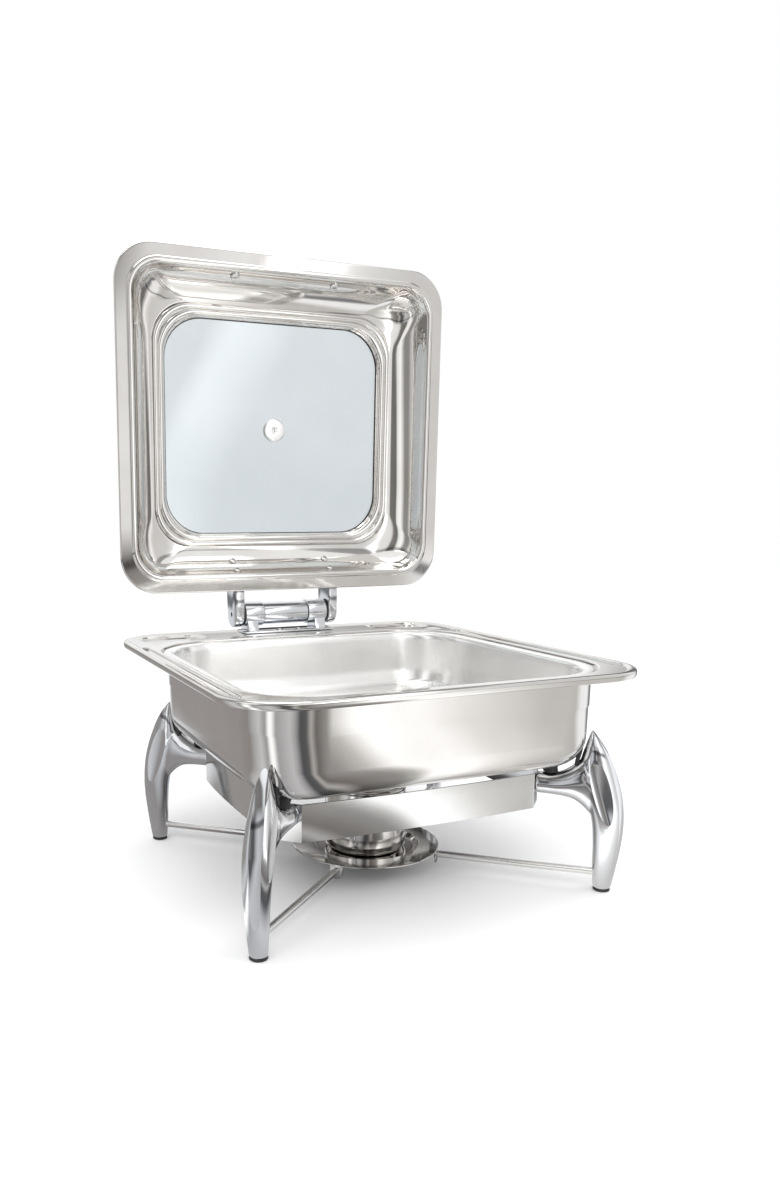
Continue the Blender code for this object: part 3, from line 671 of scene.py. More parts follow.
def band_outline(offset, z):
    """The band's plan: four bowed sides between four corner facets, pushed inward by an offset."""
    half_x = BAND_HALF_X - offset
    half_y = BAND_HALF_Y - offset
    chamfer = BAND_CHAMFER - offset * (2 - math.sqrt(2))
    sides = (
        ((half_x, -half_y + chamfer), (half_x, half_y - chamfer), (1, 0)),
        ((half_x - chamfer, half_y), (-half_x + chamfer, half_y), (0, 1)),
        ((-half_x, half_y - chamfer), (-half_x, -half_y + chamfer), (-1, 0)),
        ((-half_x + chamfer, -half_y), (half_x - chamfer, -half_y), (0, -1)),
    )
    steps = 40
    points = []
    for start, end, out in sides:
        for step in range(steps + 1):
            t = step / steps
            bow = 4 * BAND_BOW * t * (1 - t)
            x = start[0] + (end[0] - start[0]) * t + out[0] * bow
            y = start[1] + (end[1] - start[1]) * t + out[1] * bow
            points.append(Vector((x, y + PAN_Y, z)))
    return points


def make_band():
    section = softened([
        (BAND_WALL, BAND_BOTTOM),
        (0, BAND_BOTTOM),
        (0, BAND_TOP),
        (BAND_WALL, BAND_TOP),
    ], 0.5 * MM, 3, True)
    rings = [band_outline(offset, z) for offset, z in section]
    mesh = finish(loft(rings, close=True), "apron", 22)
    add_piece("apron_sheet", mesh, "brushed_steel", "stand", "apron_band")
    for corner, (side_x, side_y) in CORNERS.items():
        out = Vector((side_x, side_y, 0)).normalized()
        half = BAND_CHAMFER / 2
        facet_x = side_x * (BAND_HALF_X - half)
        facet_y = PAN_Y + side_y * (BAND_HALF_Y - half)
        facet = Vector((facet_x, facet_y, BRANCH_Z))
        seat = facet - out * (BAND_WALL + 0.3 * MM)
        mesh = screw_mesh("bolt", (5.5, 3.2, 3.0, 13.0), seat, out)
        add_piece("leg_fixing_" + corner, mesh, "mirror_steel", "stand", "leg_bolt_" + corner)


def make_tray():
    floor = TRAY_TOP - WELL_DEPTH
    profile = softened([
        (0.0, floor),
        (WELL_RADIUS - 4.0 * MM, floor),
        (WELL_RADIUS, TRAY_TOP),
        (TRAY_RADIUS - 0.4 * MM, TRAY_TOP),
        (TRAY_RADIUS, TRAY_TOP - 0.5 * MM),
        (TRAY_RADIUS, TRAY_TOP - TRAY_WALL),
        (WELL_RADIUS + 1.0 * MM, TRAY_TOP - TRAY_WALL),
        (WELL_RADIUS - 3.2 * MM, floor - TRAY_WALL),
        (0.0, floor - TRAY_WALL),
    ], 0.9 * MM, 5)
    mesh = moved(lathe("tray", profile, 160, 30), Matrix.Translation(PAN_CENTRE))
    add_piece("tray_pressing", mesh, "mirror_steel", "stand", "fuel_tray")
    for corner, (side_x, side_y) in CORNERS.items():
        foot = Vector((side_x * FOOT_X, PAN_Y + side_y * FOOT_Y, 0))
        inward = (PAN_CENTRE - foot).normalized()
        lug_at = PAN_CENTRE - inward * LUG_OFFSET
        make_lug(corner, lug_at, inward)
        start = foot + inward * 8.0 * MM
        end = lug_at - inward * 1.2 * MM
        middle = (start + end) / 2 + Vector((0, 0, ROD_Z))
        span = end - start
        bar = rod("stay", ROD_RADIUS, span.length, 0.5 * MM, along(span, middle))
        add_piece("stay_bar_" + corner, bar, "satin_steel", "stand", "stay_rod_" + corner)


def make_lug(corner, lug_at, inward):
    """A small ear with a round lower end, welded under the tray's edge."""
    top = TRAY_TOP - TRAY_WALL - 0.1 * MM
    radius = 6.5 * MM
    outline = [(radius, top), (-radius, top)]
    for step in range(19):
        angle = math.pi + math.pi * step / 18
        outline.append((radius * math.cos(angle), top - radius + radius * math.sin(angle)))

    def place(a, b, depth):
        return Vector((depth, a, b))

    mesh = bevelled(extruded("lug", outline, -1.0 * MM, 1.0 * MM, place), 0.35 * MM, 2)
    turn = Matrix.Rotation(math.atan2(inward.y, inward.x), 4, "Z")
    moved(mesh, Matrix.Translation(lug_at) @ turn)
    add_piece("tray_ear_" + corner, mesh, "mirror_steel", "stand", "tray_lug_" + corner)


def make_fuel_holder():
    base = TRAY_TOP - WELL_DEPTH + 0.3 * MM
    top = base + CUP_HEIGHT
    inner = CUP_RADIUS - CUP_WALL
    profile = softened([
        (0.0, base + CUP_WALL),
        (inner - 3 * MM, base + CUP_WALL),
        (inner, base + CUP_WALL + 3 * MM),
        (inner, top - 0.2 * MM),
        (CUP_RADIUS, top - 0.2 * MM),
        (CUP_RADIUS, base + 4 * MM),
        (CUP_RADIUS - 4 * MM, base),
        (0.0, base),
    ], 1.6 * MM, 5)
    cup = lathe("cup", profile, 128)
    ear_at = (0, PIVOT_REACH - 0.5 * MM, top - 0.8 * MM)
    ear = block("ear", (12 * MM, 12 * MM, 1.6 * MM), ear_at, 0.4 * MM)
    cup = moved(combined(cup, [ear]), Matrix.Translation(PAN_CENTRE))
    add_piece("cup_pressing", cup, "mirror_steel", "fuel_holder", "fuel_cup")
    pivot = Vector((0, PAN_Y + PIVOT_REACH, top + 1.8 * MM))
    rivet = screw_mesh("rivet", (4.0, 1.8, 2.0, 4.0), pivot, (0, 0, -1))
    add_piece("cover_rivet", rivet, "mirror_steel", "fuel_holder", "cover_pivot")
    make_cover(top)


def make_cover(cup_top):
    """A shallow pressed disc with a turned edge, a tongue to the rivet and a push tab."""
    low = cup_top + 0.3 * MM
    radius = COVER_RADIUS
    disc = lathe("disc", softened([
        (0, low + 0.5 * MM),
        (radius - 9 * MM, low + 0.5 * MM),
        (radius - 7 * MM, low),
        (radius, low),
        (radius, low + COVER_WALL),
        (radius - 6.6 * MM, low + COVER_WALL),
        (radius - 8.6 * MM, low + 1.6 * MM),
        (0, low + 1.6 * MM),
    ], 0.4 * MM, 3), 128)
    middle = low + COVER_WALL / 2
    tongue_at = (0, PIVOT_REACH - 2.5 * MM, middle)
    tongue = block("tongue", (12 * MM, 16 * MM, COVER_WALL), tongue_at, 0.3 * MM)
    tab = block("tab", (14 * MM, 12 * MM, COVER_WALL), (0, -41.5 * MM, middle), 0.3 * MM)
    mesh = moved(combined(disc, [tongue, tab]), Matrix.Translation(PAN_CENTRE))
    add_piece("cover_pressing", mesh, "mirror_steel", "fuel_cover", "cup_cover")


# ---- pans


def box_distance(x, y, centre_x, centre_y, half_x, half_y, radius):
    """Distance outside a rounded rectangle, negative inside."""
    dx = abs(x - centre_x) - half_x + radius
    dy = abs(y - centre_y) - half_y + radius
    outside = math.hypot(max(dx, 0), max(dy, 0))
    return outside + min(max(dx, dy), 0) - radius


def eased(value):
    value = min(max(value, 0.0), 1.0)
    return value * value * (3 - 2 * value)


def rim_relief(x, y):
    """Height added to the rim, in metres: channels that catch the drips, and small raised lands.

    The sizes here are millimetres across from the middle and back from the pan's centre.
    """
    across = abs(x) / MM
    back = (y - PAN_Y) / MM
    side_channel = ((187.6, -5.0, 5.0, 139.0, 4.8), 1.9)
    corner_pocket = ((142.0, 193.5, 36.0, 21.0, 15.0), 2.6)
    slope_width = 1.5
    land_height = 1.3
    relief = 0.0
    for outline, depth in (side_channel, corner_pocket):
        gap = box_distance(across, back, *outline)
        relief -= depth * eased(-gap / slope_width)
    land = math.hypot((across - 171.0) / 9.0, (back - 155.0) / 5.5)
    relief += land_height * eased((1 - land) / 0.5)
    return relief * MM


def make_water_pan():
    half = PAN_WALL / 2
    top = RIM_TOP - half
    dense = {"steps": 28, "cuts_x": 100, "cuts_y": 110}

    def rim(inset, z):
        return rounded_rect(RIM_HALF_X - inset, RIM_FRONT + inset, RIM_BACK - inset,
                            RIM_CORNER - inset, z, **dense)

    def inside(half_x, half_y, radius, z):
        return rounded_rect(half_x, PAN_Y - half_y, PAN_Y + half_y, radius, z, **dense)

    lip = softened(scaled([
        (3.0, -6.2),
        (0.95, -5.6),
        (0.75, -1.0),
        (3.4, 0.0),
        (5.6, 0.0),
        (8.4, -1.6),
        (9.6, -1.6),
    ]), 1.8 * MM, 5)
    rings = [rim(inset, top + z) for inset, z in lip]
    outer = rings[-1]
    inner = inside(MOUTH_HALF_X, MOUTH_HALF_Y, 70.0 * MM, top - RIM_STEP)
    spans = 56
    for step in range(1, spans + 1):
        rings.append([a.lerp(b, step / spans) for a, b in zip(outer, inner)])
    for ring in rings:
        for point in ring:
            point.z += rim_relief(point.x, point.y)
    ledge = FOOD_TOP - FOOD_WALL - 0.3 * MM - half
    walls = softened([
        (179.2 * MM, 164.7 * MM, 69.4 * MM, top - RIM_STEP - 0.4 * MM),
        (178.8 * MM, 164.3 * MM, 69.0 * MM, ledge),
        (WALL_X + 1.5 * MM, WALL_Y + 1.5 * MM, 57.5 * MM, ledge),
        (WALL_X, WALL_Y, 56.0 * MM, ledge - 3.0 * MM),
        (WALL_X - 1.2 * MM, WALL_Y - 1.2 * MM, 54.5 * MM, 178 * MM),
        (WALL_X - WALL_LEAN, WALL_Y - WALL_LEAN, WALL_CORNER, PAN_BOTTOM + PAN_BEND),
    ], 0.8 * MM, 3)
    rings.extend(inside(*section) for section in walls)
    bend = PAN_BEND - half
    bend_steps = 14
    for step in range(1, bend_steps + 1):
        angle = math.radians(90 * step / bend_steps)
        inset = bend * (1 - math.cos(angle))
        z = PAN_BOTTOM + PAN_BEND - bend * math.sin(angle)
        half_x = WALL_X - WALL_LEAN - inset
        half_y = WALL_Y - WALL_LEAN - inset
        rings.append(inside(half_x, half_y, WALL_CORNER - inset, z))
    mesh = thickened(finish(loft(rings, cap_end=True), "water_pan_sheet"), PAN_WALL, even=False)
    add_piece("water_pan_pressing", mesh, "mirror_steel", "water_pan_set", "water_pan")


def make_food_pan():
    half = FOOD_WALL / 2
    top = FOOD_TOP - half
    depth = FOOD_DEPTH - FOOD_WALL
    profile = softened([
        (1.2 * MM, 67 * MM, top - 1.0 * MM),
        (0.7 * MM, 67 * MM, top),
        (8.8 * MM, 60 * MM, top),
        (11.6 * MM, 57 * MM, top - 3.0 * MM),
        (15.0 * MM, 52 * MM, top - depth + 18 * MM),
        (19.0 * MM, 47 * MM, top - depth + 3.5 * MM),
        (36.0 * MM, 34 * MM, top - depth),
    ], 5.0 * MM, 8)
    rings = []
    for inset, radius, z in profile:
        rings.append(rounded_rect(FOOD_HALF_X - inset, PAN_Y - FOOD_HALF_Y + inset,
                                  PAN_Y + FOOD_HALF_Y - inset, radius, z, 28, 30, 30))
    mesh = thickened(finish(loft(rings, cap_end=True), "food_pan_sheet"), FOOD_WALL)
    add_piece("food_pan_pressing", mesh, "satin_steel", "food_pan_set", "food_pan")


# ---- hinge


def tube(name, inner, outer, start, end, chamfer):
    """A hollow bar along X on the hinge axis, with softened edges."""
    middle = (start + end) / 2
    half = abs(end - start) / 2
    profile = softened([
        (inner, -half),
        (outer, -half),
        (outer, half),
        (inner, half),
    ], chamfer, 4, True)
    return moved(lathe(name, profile, 80), along((1, 0, 0), (middle, AXIS_Y, AXIS_Z)))


def make_hinge():
    plate = block("plate", (112 * MM, 30 * MM, PLATE_THICK),
                  (0, AXIS_Y - 9 * MM, PLATE_Z + PLATE_THICK / 2), 0.7 * MM)
    shapes = []
    foot = (PLATE_Z + 1 * MM) / MM
    axis = AXIS_Z / MM
    outline = softened([
        (-16, foot), (-14, foot + 5), (-11, axis), (8, axis), (9, foot + 5), (10, foot)],
        2.0, 4, True)

    def place(a, b, depth):
        return Vector((depth, AXIS_Y + a * MM, b * MM))

    for side in SIDES.values():
        inner = side * 36.0 * MM
        outer = side * 49.0 * MM
        shapes.append(bevelled(extruded("pedestal", outline, inner, outer, place), 1.0 * MM))
        inner = side * 28.0 * MM
        outer = side * 51.2 * MM
        shapes.append(tube("knuckle", BORE_RADIUS, 14.5 * MM, inner, outer, 0.9 * MM))
    base = combined(plate, shapes)
    add_piece("hinge_base_casting", base, "cast_chrome", "water_pan_set", "hinge_base")
    barrel = tube("barrel", BORE_RADIUS, 13.0 * MM, -27.6 * MM, 27.6 * MM, 0.8 * MM)
    add_piece("hinge_barrel_tube", barrel, "cast_chrome", "water_pan_set", "hinge_barrel")
    for side_name, side in SIDES.items():
        seat = Vector((side * 12 * MM, AXIS_Y - 18.6 * MM, PLATE_Z + PLATE_THICK + 0.2 * MM))
        mesh = screw_mesh("base_screw", (3.8, 1.8, 2.0, 2.2), seat, (0, 0, -1))
        add_piece("plate_screw_" + side_name, mesh, "mirror_steel", "water_pan_set",
                  "base_screw_" + side_name)


def opened(mesh):
    """Turn a mesh that was modelled shut to the open lid's place."""
    axis = Matrix.Translation((0, AXIS_Y, AXIS_Z))
    return moved(mesh, axis @ Matrix.Rotation(-LID_OPEN, 4, "X") @ axis.inverted())


def make_hinge_pin():
    pin = rod("pin", PIN_RADIUS, 106.4 * MM, 0.6 * MM, along((1, 0, 0), (0, AXIS_Y, AXIS_Z)))
    add_piece("hinge_shaft", pin, "mirror_steel", "lid_set", "hinge_pin")
    for side_name, side in SIDES.items():
        inner = side * 51.4 * MM
        outer = side * 53.3 * MM
        washer = tube("washer", BORE_RADIUS, 13.6 * MM, inner, outer, 0.3 * MM)
        add_piece("hinge_spacer_" + side_name, washer, "black_rubber", "lid_set",
                  "hinge_washer_" + side_name)
        seat = Vector((side * 63.7 * MM, AXIS_Y, AXIS_Z))
        grub = screw_mesh("grub", (2.2, 0.6, 2.0, 8.8), seat, (-side, 0, 0))
        add_piece("arm_grub_" + side_name, grub, "black_rubber", "lid_set",
                  "grub_screw_" + side_name)


def make_arms():
    """The lid's two arms: a round end on the pin, then a lip that lies on the dome.

    The outline is an arm's side view, shut, in millimetres from the axis.
    """
    foot_back = (LID_BACK - AXIS_Y) / MM
    flange = (LID_Z - AXIS_Z) / MM
    end = 15.0
    outline = []
    for step in range(37):
        angle = math.radians(90 - 180 * step / 36)
        outline.append((end * math.cos(angle), end * math.sin(angle)))
    rest = curved([
        (-19, -end),
        (-26, flange + 1.6),
        (foot_back - 17.5, flange + 3.0),
        (foot_back - 20.0, flange + 14.0),
        (foot_back - 30.0, flange + 28.6),
        (foot_back - 38.0, flange + 35.5),
        (foot_back - 36.0, flange + 39.0),
        (foot_back - 24.0, flange + 36.0),
    ], 5)
    outline.extend(rest)

    def place(a, b, depth):
        return Vector((depth, AXIS_Y + a * MM, AXIS_Z + b * MM))

    for side_name, side in SIDES.items():
        mesh = extruded("arm", outline, side * ARM_INNER, side * ARM_OUTER, place)
        mesh = bevelled(mesh, 1.6 * MM, 4, 60)
        hole_at = along((1, 0, 0), (side * ARM_OUTER, AXIS_Y, AXIS_Z))
        hole = rod("hole", 2.7 * MM, 6 * MM, 0.2 * MM, hole_at)
        mesh = opened(combined(mesh, [hole], "DIFFERENCE"))
        add_piece("hinge_strap_" + side_name, mesh, "cast_chrome", "lid_set",
                  "hinge_arm_" + side_name)


# ---- lid


def lid_ring(inset, height, radius, cuts=24):
    return rounded_rect(LID_HALF_X - inset, LID_FRONT + inset, LID_BACK - inset,
                        radius, LID_Z + height, 24, cuts, cuts)


def make_lid_shell():
    """The pressing, from points of inset, height and corner radius."""
    flange = softened([
        (1.4, 1.5, 40.6),
        (0.1, 1.0, 41.7),
        (0.6, 0.0, 41.2),
        (13.0, 0.0, 36.0),
        (14.4, -1.5, 35.0),
        (17.0, -1.5, 34.0),
        (18.6, 0.6, 33.2),
        (19.4, 3.0, 33.0),
    ], 0.9, 5)
    dome = curved([
        (19.4, 3.0, 33.0),
        (20.6, 8.0, 33.0),
        (23.5, 16.0, 34.0),
        (28.5, 24.0, 36.0),
        (35.5, 31.3, 38.0),
        (43.0, 36.6, 41.0),
        (47.6, 38.7, 42.4),
    ], 6)
    frame_beads = curved([
        (47.6, 38.7, 42.4),
        (48.8, 38.9, 42.7),
        (49.8, 37.6, 43.0),
        (51.8, 36.7, 43.6),
        (53.8, 37.5, 44.2),
        (54.9, 38.9, 44.5),
        (56.0, 37.7, 44.8),
        (58.0, 37.1, 45.2),
        (60.2, 38.5, 45.5),
        (61.6, 40.9, 45.6),
        (62.7, 42.6, 45.6),
    ], 4)
    profile = flange + dome[1:] + frame_beads[1:]
    rings = [lid_ring(inset * MM, height * MM, radius * MM) for inset, height, radius in profile]
    mesh = opened(thickened(finish(loft(rings), "lid_sheet"), LID_WALL))
    add_piece("lid_pressing", mesh, "lid_steel", "lid_set", "lid_shell")


def make_glass():
    """The pane with its ground edges and vent hole, and the seal under it."""
    low = GLASS_BASE
    high = GLASS_BASE + GLASS_THICK
    edge = 0.5 * MM
    radius = WINDOW_CORNER + WINDOW_INSET - GLASS_INSET
    heights = ((edge, low), (0, low + edge), (0, high - edge), (edge, high))
    rings = [lid_ring(GLASS_INSET + cut, z, radius - cut, 1) for cut, z in heights]
    pane = finish(loft(rings, True, True), "pane")
    centre = Vector((0, LID_Y, LID_Z + GLASS_BASE))
    hole = rod("hole", 4.3 * MM, 40 * MM, 0.1 * MM, Matrix.Translation(centre))
    pane = opened(combined(pane, [hole], "DIFFERENCE"))
    add_piece("window_pane", pane, "clear_glass", "lid_set", "window_glass")
    section = softened([
        (64.2, 43.6),
        (60.4, 43.6),
        (60.4, 44.5),
        (64.2, 44.5),
    ], 0.3, 3, True)
    rings = [lid_ring(inset * MM, z * MM, WINDOW_CORNER + WINDOW_INSET - inset * MM, 1)
             for inset, z in section]
    seal = opened(finish(loft(rings, close=True), "seal"))
    add_piece("window_seal", seal, "black_rubber", "lid_set", "window_gasket")
    make_vent()


def make_vent():
    below = GLASS_BASE / MM - 0.3
    above = (GLASS_BASE + GLASS_THICK) / MM + 0.3
    inner = scaled(softened([
        (2.3, above - 0.8),
        (4.0, above - 0.8),
        (4.0, below),
        (12.9, below),
        (12.9, below - 1.2),
        (11.4, below - 2.3),
        (4.2, below - 2.5),
        (3.6, below - 1.9),
        (2.3, below - 1.9),
    ], 0.5, 4, True))
    outer = scaled(softened([
        (1.8, above + 1.4),
        (4.0, above + 1.4),
        (4.8, above + 2.0),
        (11.2, above + 1.9),
        (12.9, above + 0.9),
        (12.9, above),
        (1.8, above),
    ], 0.5, 4, True))
    place = Matrix.Translation((0, LID_Y, LID_Z))
    for name, profile in (("inner", inner), ("outer", outer)):
        mesh = opened(moved(lathe("vent", profile, 72), place))
        add_piece("vent_disc_" + name, mesh, "satin_steel", "lid_set", "vent_ferrule_" + name)


def make_lid_screws():
    for side_name, side in SIDES.items():
        inset, height, normal = STEEP_SPOT
        forward = Vector((0, -normal.y, normal.z))
        spot = Vector((side * SCREW_X, LID_FRONT + inset, height))
        seat = spot - forward * (LID_WALL / 2 + 0.2 * MM)
        mesh = opened(screw_mesh("screw", (5.2, 2.2, 2.0, 1.6), seat, forward))
        add_piece("handle_fixing_" + side_name, mesh, "mirror_steel", "lid_set",
                  "handle_screw_" + side_name)
        for level, (inset, height, normal) in (("lower", STEEP_SPOT), ("upper", SLOPED_SPOT)):
            spot = Vector((side * ARM_SCREW_X, LID_BACK - inset, height))
            seat = spot - normal * (LID_WALL / 2 + 0.2 * MM)
            mesh = opened(screw_mesh("rivet", (4.1, 1.8, 2.0, 1.6), seat, normal))
            add_piece(f"strap_rivet_{side_name}_{level}", mesh, "mirror_steel", "lid_set",
                      f"arm_rivet_{side_name}_{level}")


def make_handle():
    """A bar with collars and domed ends, on two flared posts."""
    bar_at = Vector((0, LID_FRONT + 3.0 * MM, LID_Z + 37.0 * MM))
    side_profile = curved([(0, 74), (2.6, 73.4), (4.1, 71.6), (4.5, 69.0)], 5)
    collar = [(4.5, 66.0), (5.3, 65.2), (5.3, 54.8), (4.5, 54.0)]
    half = side_profile + collar
    profile = scaled(half + [(radius, -x) for radius, x in reversed(half)])
    bar = moved(lathe("bar", profile, 64, 30), along((1, 0, 0), bar_at))
    posts = []
    inset, height, normal = STEEP_SPOT
    for side in SIDES.values():
        top = bar_at + Vector((side * SCREW_X, 0, 0))
        foot = Vector((side * SCREW_X, LID_FRONT + inset, height))
        foot += Vector((0, -normal.y, normal.z)) * (LID_WALL / 2 + 2.9 * MM)
        span = top - foot
        length = span.length / MM
        shape = curved([
            (0, 0), (5.6, 0), (5.4, 1.2), (4.2, 5), (3.7, length * 0.6), (4.2, length)], 5)
        shape.append((0, length))
        posts.append(moved(lathe("post", scaled(shape), 48), along(span, foot)))
    handle = opened(combined(bar, posts))
    add_piece("handle_bar", handle, "cast_chrome", "lid_set", "lid_handle")


# ---- stage, lights and camera


def make_floor():
    bm = bmesh.new()
    bmesh.ops.create_grid(bm, x_segments=1, y_segments=1, size=12.0)
    floor = linked("floor", finish(bm, "floor"))
    material, tree, shader = new_material("floor")
    patches = stretched_noise(tree, 1.5, 2.0)
    feed(tree, shader, {
        "Base Color": tint(tree, patches, (0.90, 0.90, 0.90), (0.93, 0.93, 0.93)),
        "Roughness": 0.9,
        "Specular IOR Level": 0.1,
    })
    floor.data.materials.append(material)


TENT_RADIUS = 0.56
TENT_HEIGHT = 1.15
# The light's low pattern turns into the high one between these heights.
TENT_CHANGE = (0.24, 0.30)
# Slope and start of each pattern's slant, and the heights between which it slants.
LOW_SLANT = (0.23, -0.015, 0.0, 0.08)
HIGH_SLANT = (-0.15, 0.055, 0.38, TENT_HEIGHT)
# Painted shade: the tent's floor glows less under the stand, where its shade falls, between these
# distances from the middle.
UNDER_SHADE = 0.12
UNDER_REACH = (0.08, 0.22)
# Bearing in degrees from the front, positive to the right, then the light's colour or grey.
LOW_LIGHT = (
    (-180, (0.90, 0.92, 0.96)),
    (-157, (0.85, 0.87, 0.90)),
    (-150, (0.40, 0.38, 0.37)),
    (-104, (0.37, 0.35, 0.34)),
    (-92, (0.60, 0.60, 0.61)),
    (-80, (0.80, 0.80, 0.81)),
    (-70, 0.45),
    (-65, 1.50),
    (-62, 1.50),
    (-56, (0.50, 0.50, 0.51)),
    (-40, (0.75, 0.75, 0.77)),
    (-34, (0.50, 0.50, 0.51)),
    (-29, (0.12, 0.12, 0.13)),
    (-22, 0.15),
    (-17, (0.60, 0.58, 0.57)),
    (-11, (0.22, 0.20, 0.19)),
    (-4, (0.32, 0.30, 0.29)),
    (3, (0.42, 0.41, 0.40)),
    (7, (0.75, 0.74, 0.72)),
    (11, 1.60),
    (20, 1.50),
    (26, (1.10, 1.09, 1.07)),
    (36, (0.78, 0.76, 0.74)),
    (52, (0.70, 0.68, 0.66)),
    (63, (1.20, 1.20, 1.22)),
    (80, (1.20, 1.20, 1.22)),
    (90, (0.28, 0.28, 0.29)),
    (98, (0.28, 0.28, 0.29)),
    (110, (1.00, 1.00, 1.02)),
    (124, 0.70),
    (140, (0.14, 0.13, 0.13)),
    (180, (0.22, 0.21, 0.21)),
)
HIGH_LIGHT = (
    (-180, 1.15),
    (-120, 0.95),
    (-100, (0.35, 0.34, 0.33)),
    (-84, (0.35, 0.34, 0.33)),
    (-70, 1.30),
    (-56, 1.10),
    (-50, (0.20, 0.19, 0.18)),
    (-32, (0.25, 0.24, 0.23)),
    (-23, 1.00),
    (0, 1.10),
    (5, 3.60),
    (11, 2.80),
    (18, 1.10),
    (28, 0.86),
    (60, (0.84, 0.83, 0.82)),
    (76, 1.30),
    (90, (0.22, 0.21, 0.21)),
    (104, (0.22, 0.21, 0.21)),
    (116, 1.15),
    (180, 1.15),
)

# Height, then the strength of the light there, with a dark line at the height of the rim.
TENT_LEVELS = (
    (0.0, 1.0),
    (0.198, 1.0),
    (0.208, 0.25),
    (0.224, 0.25),
    (0.236, 1.0),
    (0.92, 1.0),
    (0.99, 0.45),
    (1.15, 0.55),
)


def colour_ramp(tree, source, stops):
    """Colours laid out over 0 to 1, from pairs of position and colour; a number is a grey."""
    ramp = add_node(tree, "ShaderNodeValToRGB", {"Fac": source})
    elements = ramp.color_ramp.elements
    elements.remove(elements[1])
    for index, (position, colour) in enumerate(stops):
        stop = elements.new(position) if index else elements[0]
        stop.position = position
        stop.color = (*colour, 1) if isinstance(colour, tuple) else (colour, colour, colour, 1)
    return ramp.outputs["Color"]


def slanted_light(tree, turn, height, slant, light):
    """The light's colours round the tent, in a pattern that slants between two heights."""
    slope, start, lowest, highest = slant
    level = add_node(tree, "ShaderNodeClamp", {"Value": height, "Min": lowest, "Max": highest})
    shifted = calculated(tree, "ADD", turn, start)
    slanted = calculated(tree, "MULTIPLY_ADD", level.outputs[0], slope, shifted)
    stops = [((degrees + 180) / 360, colour) for degrees, colour in light]
    return colour_ramp(tree, slanted, stops)


def make_tent():
    """A light tent that only reflections see, with its own pattern low down and high up."""
    rings = []
    for radius, z in ((0.001, 0.002), (TENT_RADIUS, 0.002), (TENT_RADIUS, TENT_HEIGHT)):
        rings.append([Vector((radius * x, radius * y, z)) for x, y in circle(120)])
    tent = linked("light_tent", finish(loft(rings), "light_tent"))
    material, tree, _ = new_material("light_tent")
    tree.nodes.clear()
    place = add_node(tree, "ShaderNodeNewGeometry").outputs["Position"]
    parts = add_node(tree, "ShaderNodeSeparateXYZ", {0: place})
    height = parts.outputs["Z"]
    front = calculated(tree, "MULTIPLY", parts.outputs["Y"], -1.0)
    bearing = calculated(tree, "ARCTAN2", parts.outputs["X"], front)
    turn = spread(tree, bearing, 0, 1, -math.pi, math.pi)
    mix = add_node(tree, "ShaderNodeMix", {
        "Factor": spread(tree, height, 0, 1, *TENT_CHANGE),
        "A": slanted_light(tree, turn, height, LOW_SLANT, LOW_LIGHT),
        "B": slanted_light(tree, turn, height, HIGH_SLANT, HIGH_LIGHT),
    }, data_type="RGBA")
    # Painted shade under the stand: the tent's floor glows less towards the middle.
    reach = add_node(tree, "ShaderNodeVectorMath", {0: place}, operation="LENGTH")
    under = spread(tree, reach.outputs["Value"], UNDER_SHADE, 1.0, *UNDER_REACH)
    levels = [(z / TENT_HEIGHT, strength) for z, strength in TENT_LEVELS]
    wall = colour_ramp(tree, spread(tree, height, 0, 1, 0, TENT_HEIGHT), levels)
    glow = add_node(tree, "ShaderNodeEmission", {
        "Color": mix.outputs["Result"], "Strength": calculated(tree, "MULTIPLY", under, wall)})
    add_node(tree, "ShaderNodeOutputMaterial", {"Surface": glow.outputs[0]})
    tent.data.materials.append(material)
    for ray in ("camera", "diffuse", "shadow", "transmission", "volume_scatter"):
        setattr(tent, "visible_" + ray, False)


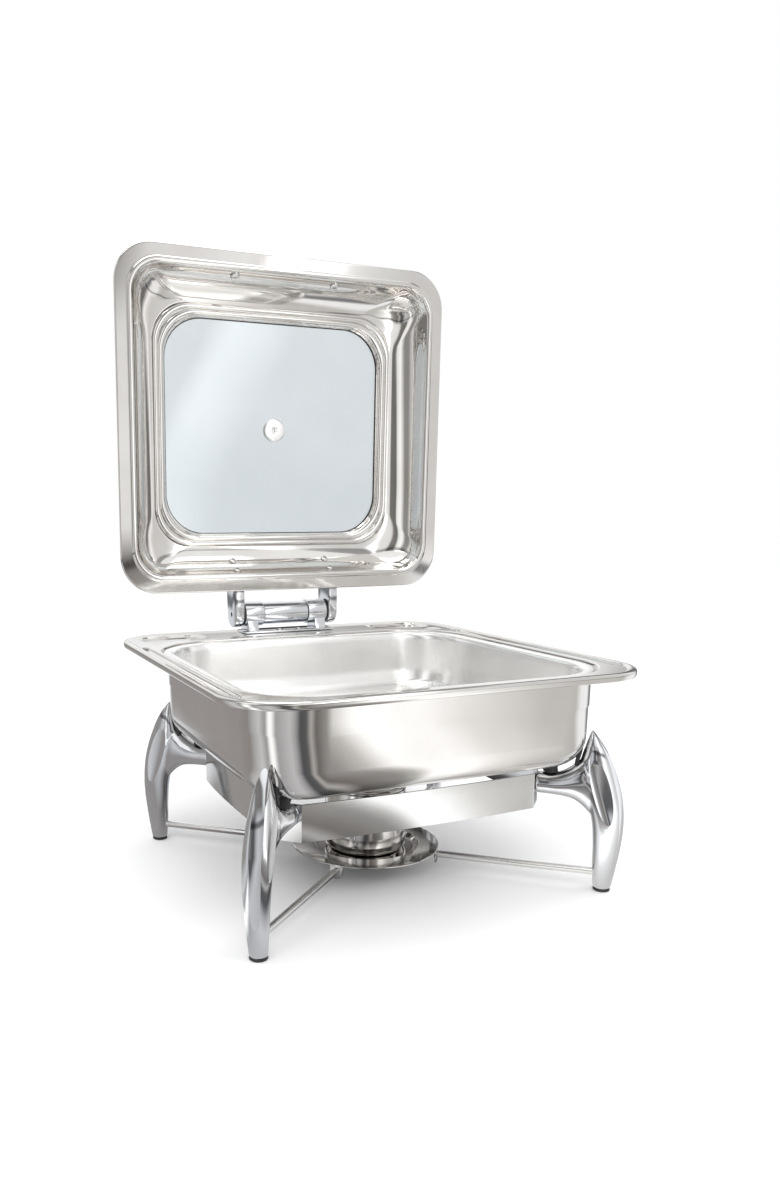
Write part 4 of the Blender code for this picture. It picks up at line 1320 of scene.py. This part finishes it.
def make_world():
    """White to the eye; to reflections, a ceiling that is brightest overhead."""
    world = bpy.data.worlds.new("studio")
    bpy.context.scene.world = world
    world.use_nodes = True
    tree = world.node_tree
    tree.nodes.clear()
    place = add_node(tree, "ShaderNodeTexCoord").outputs["Generated"]
    parts = add_node(tree, "ShaderNodeSeparateXYZ", {0: place})
    level = spread(tree, parts.outputs["Z"], 0.0, 1.0, -0.1, 1.0)
    sky = colour_ramp(tree, level, ((0.0, (0.88, 0.90, 0.93)), (1.0, 1.20)))
    soft = add_node(tree, "ShaderNodeBackground", {"Color": sky})
    white = add_node(tree, "ShaderNodeBackground", {"Color": (1, 1, 1, 1)})
    path = add_node(tree, "ShaderNodeLightPath")
    mix = add_node(tree, "ShaderNodeMixShader", {
        0: path.outputs["Is Camera Ray"], 1: soft.outputs[0], 2: white.outputs[0]})
    add_node(tree, "ShaderNodeOutputWorld", {"Surface": mix.outputs[0]})


def add_light(name, size, watts, location, target):
    light = bpy.data.lights.new(name, "AREA")
    light.shape = "RECTANGLE"
    light.size, light.size_y = size
    light.energy = watts
    lamp = linked(name, light)
    lamp.location = location
    lamp.rotation_euler = (Vector(location) - Vector(target)).to_track_quat("Z", "Y").to_euler()
    lamp.visible_camera = False


def make_camera():
    data = bpy.data.cameras.new("camera")
    data.sensor_width = 36.0
    data.lens = 27.687
    data.shift_x = 0.0863
    data.shift_y = 0.0512
    data.clip_start = 0.01
    camera = linked("camera", data)
    camera.location = (-0.4197, -0.8199, 0.3538)
    camera.rotation_euler = (math.radians(90 - 9.28), 0, math.radians(-22.961))
    bpy.context.scene.camera = camera


def make_studio():
    make_camera()
    make_floor()
    make_tent()
    make_world()
    target = (0, 0, 0.2)
    add_light("key_softbox", (1.6, 1.2), 16, (-1.2, -1.3, 1.7), target)
    add_light("fill_softbox", (1.6, 1.2), 10, (1.5, -0.8, 1.4), target)
    add_light("top_softbox", (1.4, 1.4), 12, (0, 0.2, 2.2), target)
    bpy.context.scene.view_settings.view_transform = "Standard"


def main():
    make_studio()
    make_legs()
    make_band()
    make_tray()
    make_fuel_holder()
    make_water_pan()
    make_food_pan()
    make_hinge()
    make_hinge_pin()
    make_arms()
    make_lid_shell()
    make_glass()
    make_lid_screws()
    make_handle()


main()
